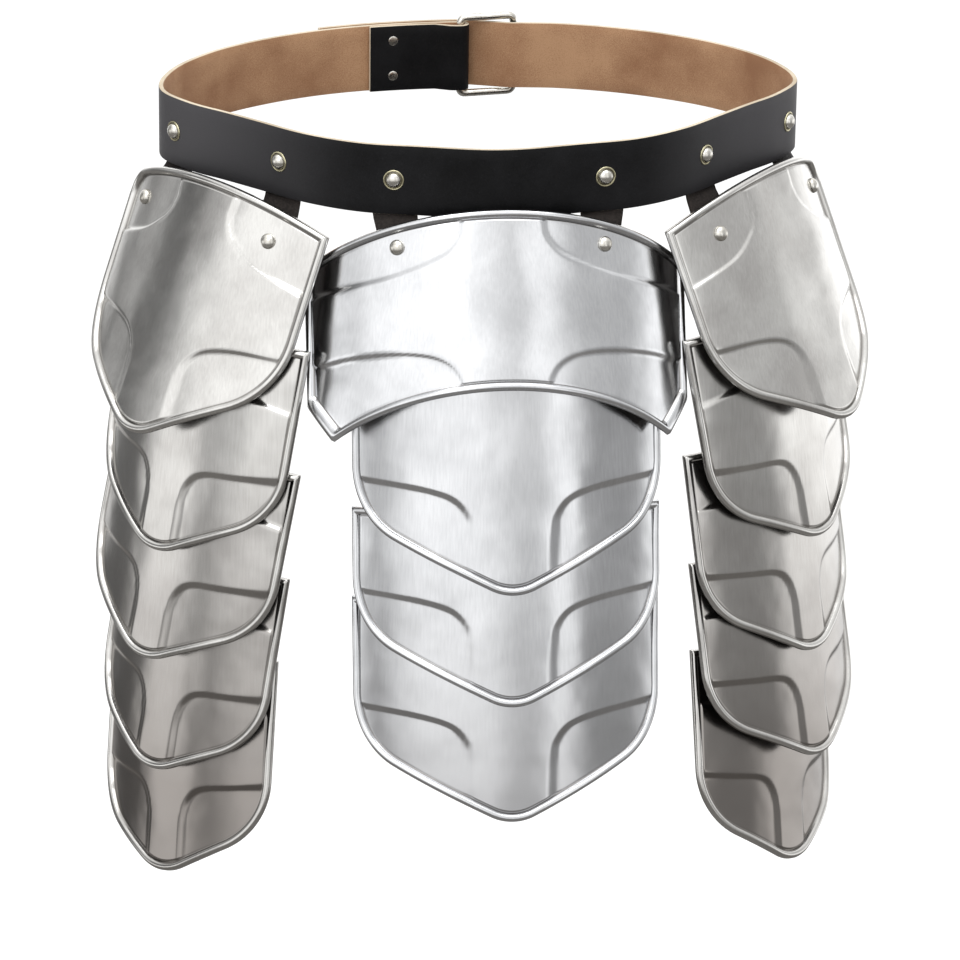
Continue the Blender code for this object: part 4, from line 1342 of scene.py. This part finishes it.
@dataclass
class Studio:
    """A pale floor, soft studio light and the photograph's camera."""

    azimuth: float = math.radians(-5.5)
    elevation: float = math.radians(13.0)
    target: tuple = (0.0, 0.0, -0.238)
    distance: float = 3.5
    lens: float = 201.92
    sensor: float = 36.0
    sight: float = 60.0
    floor_level: float = -0.78
    floor_reach: float = 14.0
    # Light and dark cards round the room, above eye level and just below it: from and to in degrees
    # round from the front, towards +X, and the brightness.
    high_cards: tuple = (
        (-180, -160, 1.6), (-145, -140, 0.4), (-130, -120, 0.6), (-110, -100, 0.15), (-65, -10, 1.5),
        (10, 15, 0.95), (20, 30, 1.4), (45, 85, 0.7), (95, 105, 1.0), (115, 125, 0.75), (150, 180, 1.6))
    low_cards: tuple = (
        (-180, -155, 1.5), (-140, -115, 0.2), (-100, -80, 1.6), (-70, -65, 0.6), (-45, -10, 1.4),
        (10, 20, 0.85), (30, 35, 1.5), (45, 75, 0.45), (90, 100, 1.6), (125, 135, 1.8), (170, 180, 1.5))
    ceiling: tuple = (1.25, 1.25, 1.25, 1.0)
    ground: tuple = (0.26, 0.25, 0.24, 1.0)
    # The sine of a direction's height at which the high cards, the ceiling and the ground start and
    # are full.
    zones: tuple = ((-0.03, 0.20), (0.50, 0.80), (-0.10, -0.38))
    # Name, place, size in metres and power in watts of each soft box.
    lamps: tuple = (("overhead soft box", (0.0, -0.6, 2.6), 2.4, 45.0),
                    ("front soft box", (-1.1, -2.4, 1.5), 0.9, 9.0))
    lamp_target: tuple = (0.0, 0.0, -0.25)

    def build(self) -> None:
        """Build the floor, the light and the camera."""
        bpy.context.scene.view_settings.view_transform = "Standard"
        self.build_floor()
        self.build_room()
        self.build_lights()
        self.build_camera()

    def build_floor(self) -> None:
        """Lay the plain floor, whose sheen the steel doesn't mirror."""
        mesh = bpy.data.meshes.new("studio floor")
        corners = ((-1, -1), (1, -1), (1, 1), (-1, 1))
        mesh.from_pydata([(x * self.floor_reach, y * self.floor_reach, self.floor_level) for x, y in corners],
                         [], [(0, 1, 2, 3)])
        floor = link_object("studio_floor", mesh)
        floor.visible_glossy = False
        material, add, shader = new_surface("matt white paper")
        add(shader, inputs={"Base Color": linear("#f4f4f4"), "Roughness": 0.9})
        mesh.materials.append(material)

    def build_room(self) -> None:
        """Surround the object with a soft room whose walls are lighter and darker by direction."""
        world = bpy.data.worlds.new("studio room")
        bpy.context.scene.world = world
        world.use_nodes = True
        tree = world.node_tree
        tree.nodes.clear()
        add = partial(add_node, tree)
        way = add("ShaderNodeTexCoord").outputs["Generated"]
        look = add("ShaderNodeSeparateXYZ", inputs={0: way}).outputs
        back = add("ShaderNodeMath", {"operation": "MULTIPLY"}, {0: look["Y"], 1: -1.0})
        angle = add("ShaderNodeMath", {"operation": "ARCTAN2"}, {0: look["X"], 1: back})
        turn = add("ShaderNodeMapRange", inputs={"Value": angle, "From Min": -math.pi, "From Max": math.pi})
        # Light falls off evenly from one card's edge to the next one's.
        low, high = (add("ShaderNodeValToRGB",
                         {"stops": [((degrees + 180) / 360, (value, value, value, 1.0))
                                    for start, end, value in cards for degrees in (start, end)]},
                         {"Fac": turn}) for cards in (self.low_cards, self.high_cards))
        shade = low
        for (start, end), color in zip(self.zones, (high, self.ceiling, self.ground)):
            share = add("ShaderNodeMapRange", {"interpolation_type": "SMOOTHSTEP"},
                        {"Value": look["Z"], "From Min": start, "From Max": end})
            shade = add("ShaderNodeMix", {"data_type": "RGBA"}, {0: share, 6: shade, 7: color})
        light = add("ShaderNodeBackground", inputs={"Color": shade, "Strength": 1.0})
        add("ShaderNodeOutputWorld", inputs={"Surface": light})

    def build_lights(self) -> None:
        """Hang two large soft boxes over the floor."""
        for name, place, size, power in self.lamps:
            lamp = bpy.data.lights.new(name, "AREA")
            lamp.shape = "SQUARE"
            lamp.size = size
            lamp.energy = power
            item = link_object(name, lamp)
            item.location = place
            aim = Vector(self.lamp_target) - Vector(place)
            item.rotation_euler = aim.to_track_quat("-Z", "Y").to_euler()

    def build_camera(self) -> None:
        """Set the camera at the photograph's place."""
        data = bpy.data.cameras.new("photo camera")
        data.lens = self.lens
        data.sensor_width = self.sensor
        data.clip_end = self.sight
        camera = link_object("photo camera", data)
        away = Vector((math.sin(self.azimuth) * math.cos(self.elevation),
                       -math.cos(self.azimuth) * math.cos(self.elevation), math.sin(self.elevation)))
        camera.location = Vector(self.target) + away * self.distance
        camera.rotation_euler = (-away).to_track_quat("-Z", "Y").to_euler()
        bpy.context.scene.camera = camera


@dataclass
class Fauld:
    """The whole object, built sub-assembly by sub-assembly."""

    finishes: Finishes
    line: BeltLine = field(default_factory=BeltLine)
    rivets: RivetTree = field(default_factory=RivetTree)
    head_diameter: float = 10.0 * MM
    head_height: float = 3.9 * MM
    small_diameter: float = 7.6 * MM
    small_height: float = 1.2 * MM

    def __post_init__(self) -> None:
        """Start with no rivets gathered."""
        self.plate_rivets: list = []
        self.hidden_rivets: list = []
        self.belt_rivets: list = []

    def gather(self, strap: HangerStrap, names: list[str]) -> None:
        """Note the rivets of a strap, so that each kind is made in one go.

        Args:
            strap: The strap.
            names: Its rivets' node names, the belt's first, then one for each plate.
        """
        grip = strap.line.thickness + strap.clearance + strap.thickness
        self.belt_rivets.append((names[0], strap.line.seat(strap.belt_angle),
                                 strap.line.seat(strap.belt_angle, grip)))
        for name, (plate, across, level, shown) in zip(names[1:], strap.holds):
            depth = plate.sheet + strap.room + strap.thickness
            row = (name, plate.seat(across, level), plate.seat(across, level, depth))
            (self.plate_rivets if shown else self.hidden_rivets).append(row)

    def build_apron(self) -> None:
        """Build the front plate, its lames and straps."""
        apron = FrontApron(self.line)
        plates = apron.plates()
        for plate in plates:
            plate.build(self.finishes.apron_steel, self.finishes.inside_steel)
        for side in Side:
            strap = HangerStrap(f"front_strap_{side.word}", self.line, side.value * apron.belt_angle,
                                apron.holds(plates, side))
            strap.build(self.finishes)
            self.gather(strap, [f"front_belt_rivet_{side.word}"]
                        + [f"{plate.name}_rivet_{side.word}" for plate in plates])

    def build_tasset(self, side: Side) -> None:
        """Build one tasset, its lames and straps.

        Args:
            side: The tasset's side.
        """
        tasset = SideTasset(self.line, side)
        plates = tasset.plates()
        for plate in plates:
            plate.build(self.finishes.tasset_steel, self.finishes.inside_steel)
        for rear, word in ((False, "front"), (True, "rear")):
            strap = HangerStrap(f"{side.word}_strap_{word}", self.line, side.value * tasset.belt_angles[rear],
                                tasset.holds(plates, rear))
            strap.build(self.finishes)
            self.gather(strap, [f"{side.word}_belt_rivet_{word}"]
                        + [f"{plate.name}_rivet_{word}" for plate in plates])

    def build_rivets(self, belt: HipBelt) -> None:
        """Build the four kinds of rivets.

        Args:
            belt: The belt, whose fold takes two of them.
        """
        run = belt.flap * belt.flap_rivets
        grip = 2 * belt.line.thickness + belt.fold_gap
        fold = []
        for name, up in (("fold_rivet_upper", belt.fold_rivet_up), ("fold_rivet_lower", -belt.fold_rivet_up)):
            out = np.array(belt.line.place(run, MM, up)) - np.array(belt.line.place(run, 0.0, up))
            out /= np.linalg.norm(out)
            fold.append((name, (np.array(belt.line.place(run, 0.0, up)), out),
                         (np.array(belt.line.place(run, -grip, up)), out)))
        for name, head, rows, diameter, height in (
                ("belt_rivet_heads", Head.RINGED, self.belt_rivets, self.head_diameter, self.head_height),
                ("plate_rivet_heads", Head.DOME, self.plate_rivets, self.head_diameter, self.head_height),
                ("lame_rivet_heads", Head.FLAT, self.hidden_rivets, self.small_diameter, self.small_height),
                ("fold_rivet_heads", Head.FLAT, fold, self.small_diameter, self.small_height)):
            made = RivetSet(name, head, [row[0] for row in rows], [row[1] for row in rows],
                            [row[2] for row in rows], diameter, height)
            made.build(self.rivets, self.finishes)

    def build(self) -> None:
        """Build every piece."""
        belt = HipBelt(self.line)
        belt.build_strip(self.finishes)
        belt.build_buckle(self.finishes)
        self.build_apron()
        for side in Side:
            self.build_tasset(side)
        self.build_rivets(belt)


def main() -> None:
    """Build the object and the studio."""
    logging.basicConfig(level=logging.INFO, format="%(name)s: %(message)s")
    Studio().build()
    Fauld(Finishes()).build()


if __name__ == "__main__":
    main()
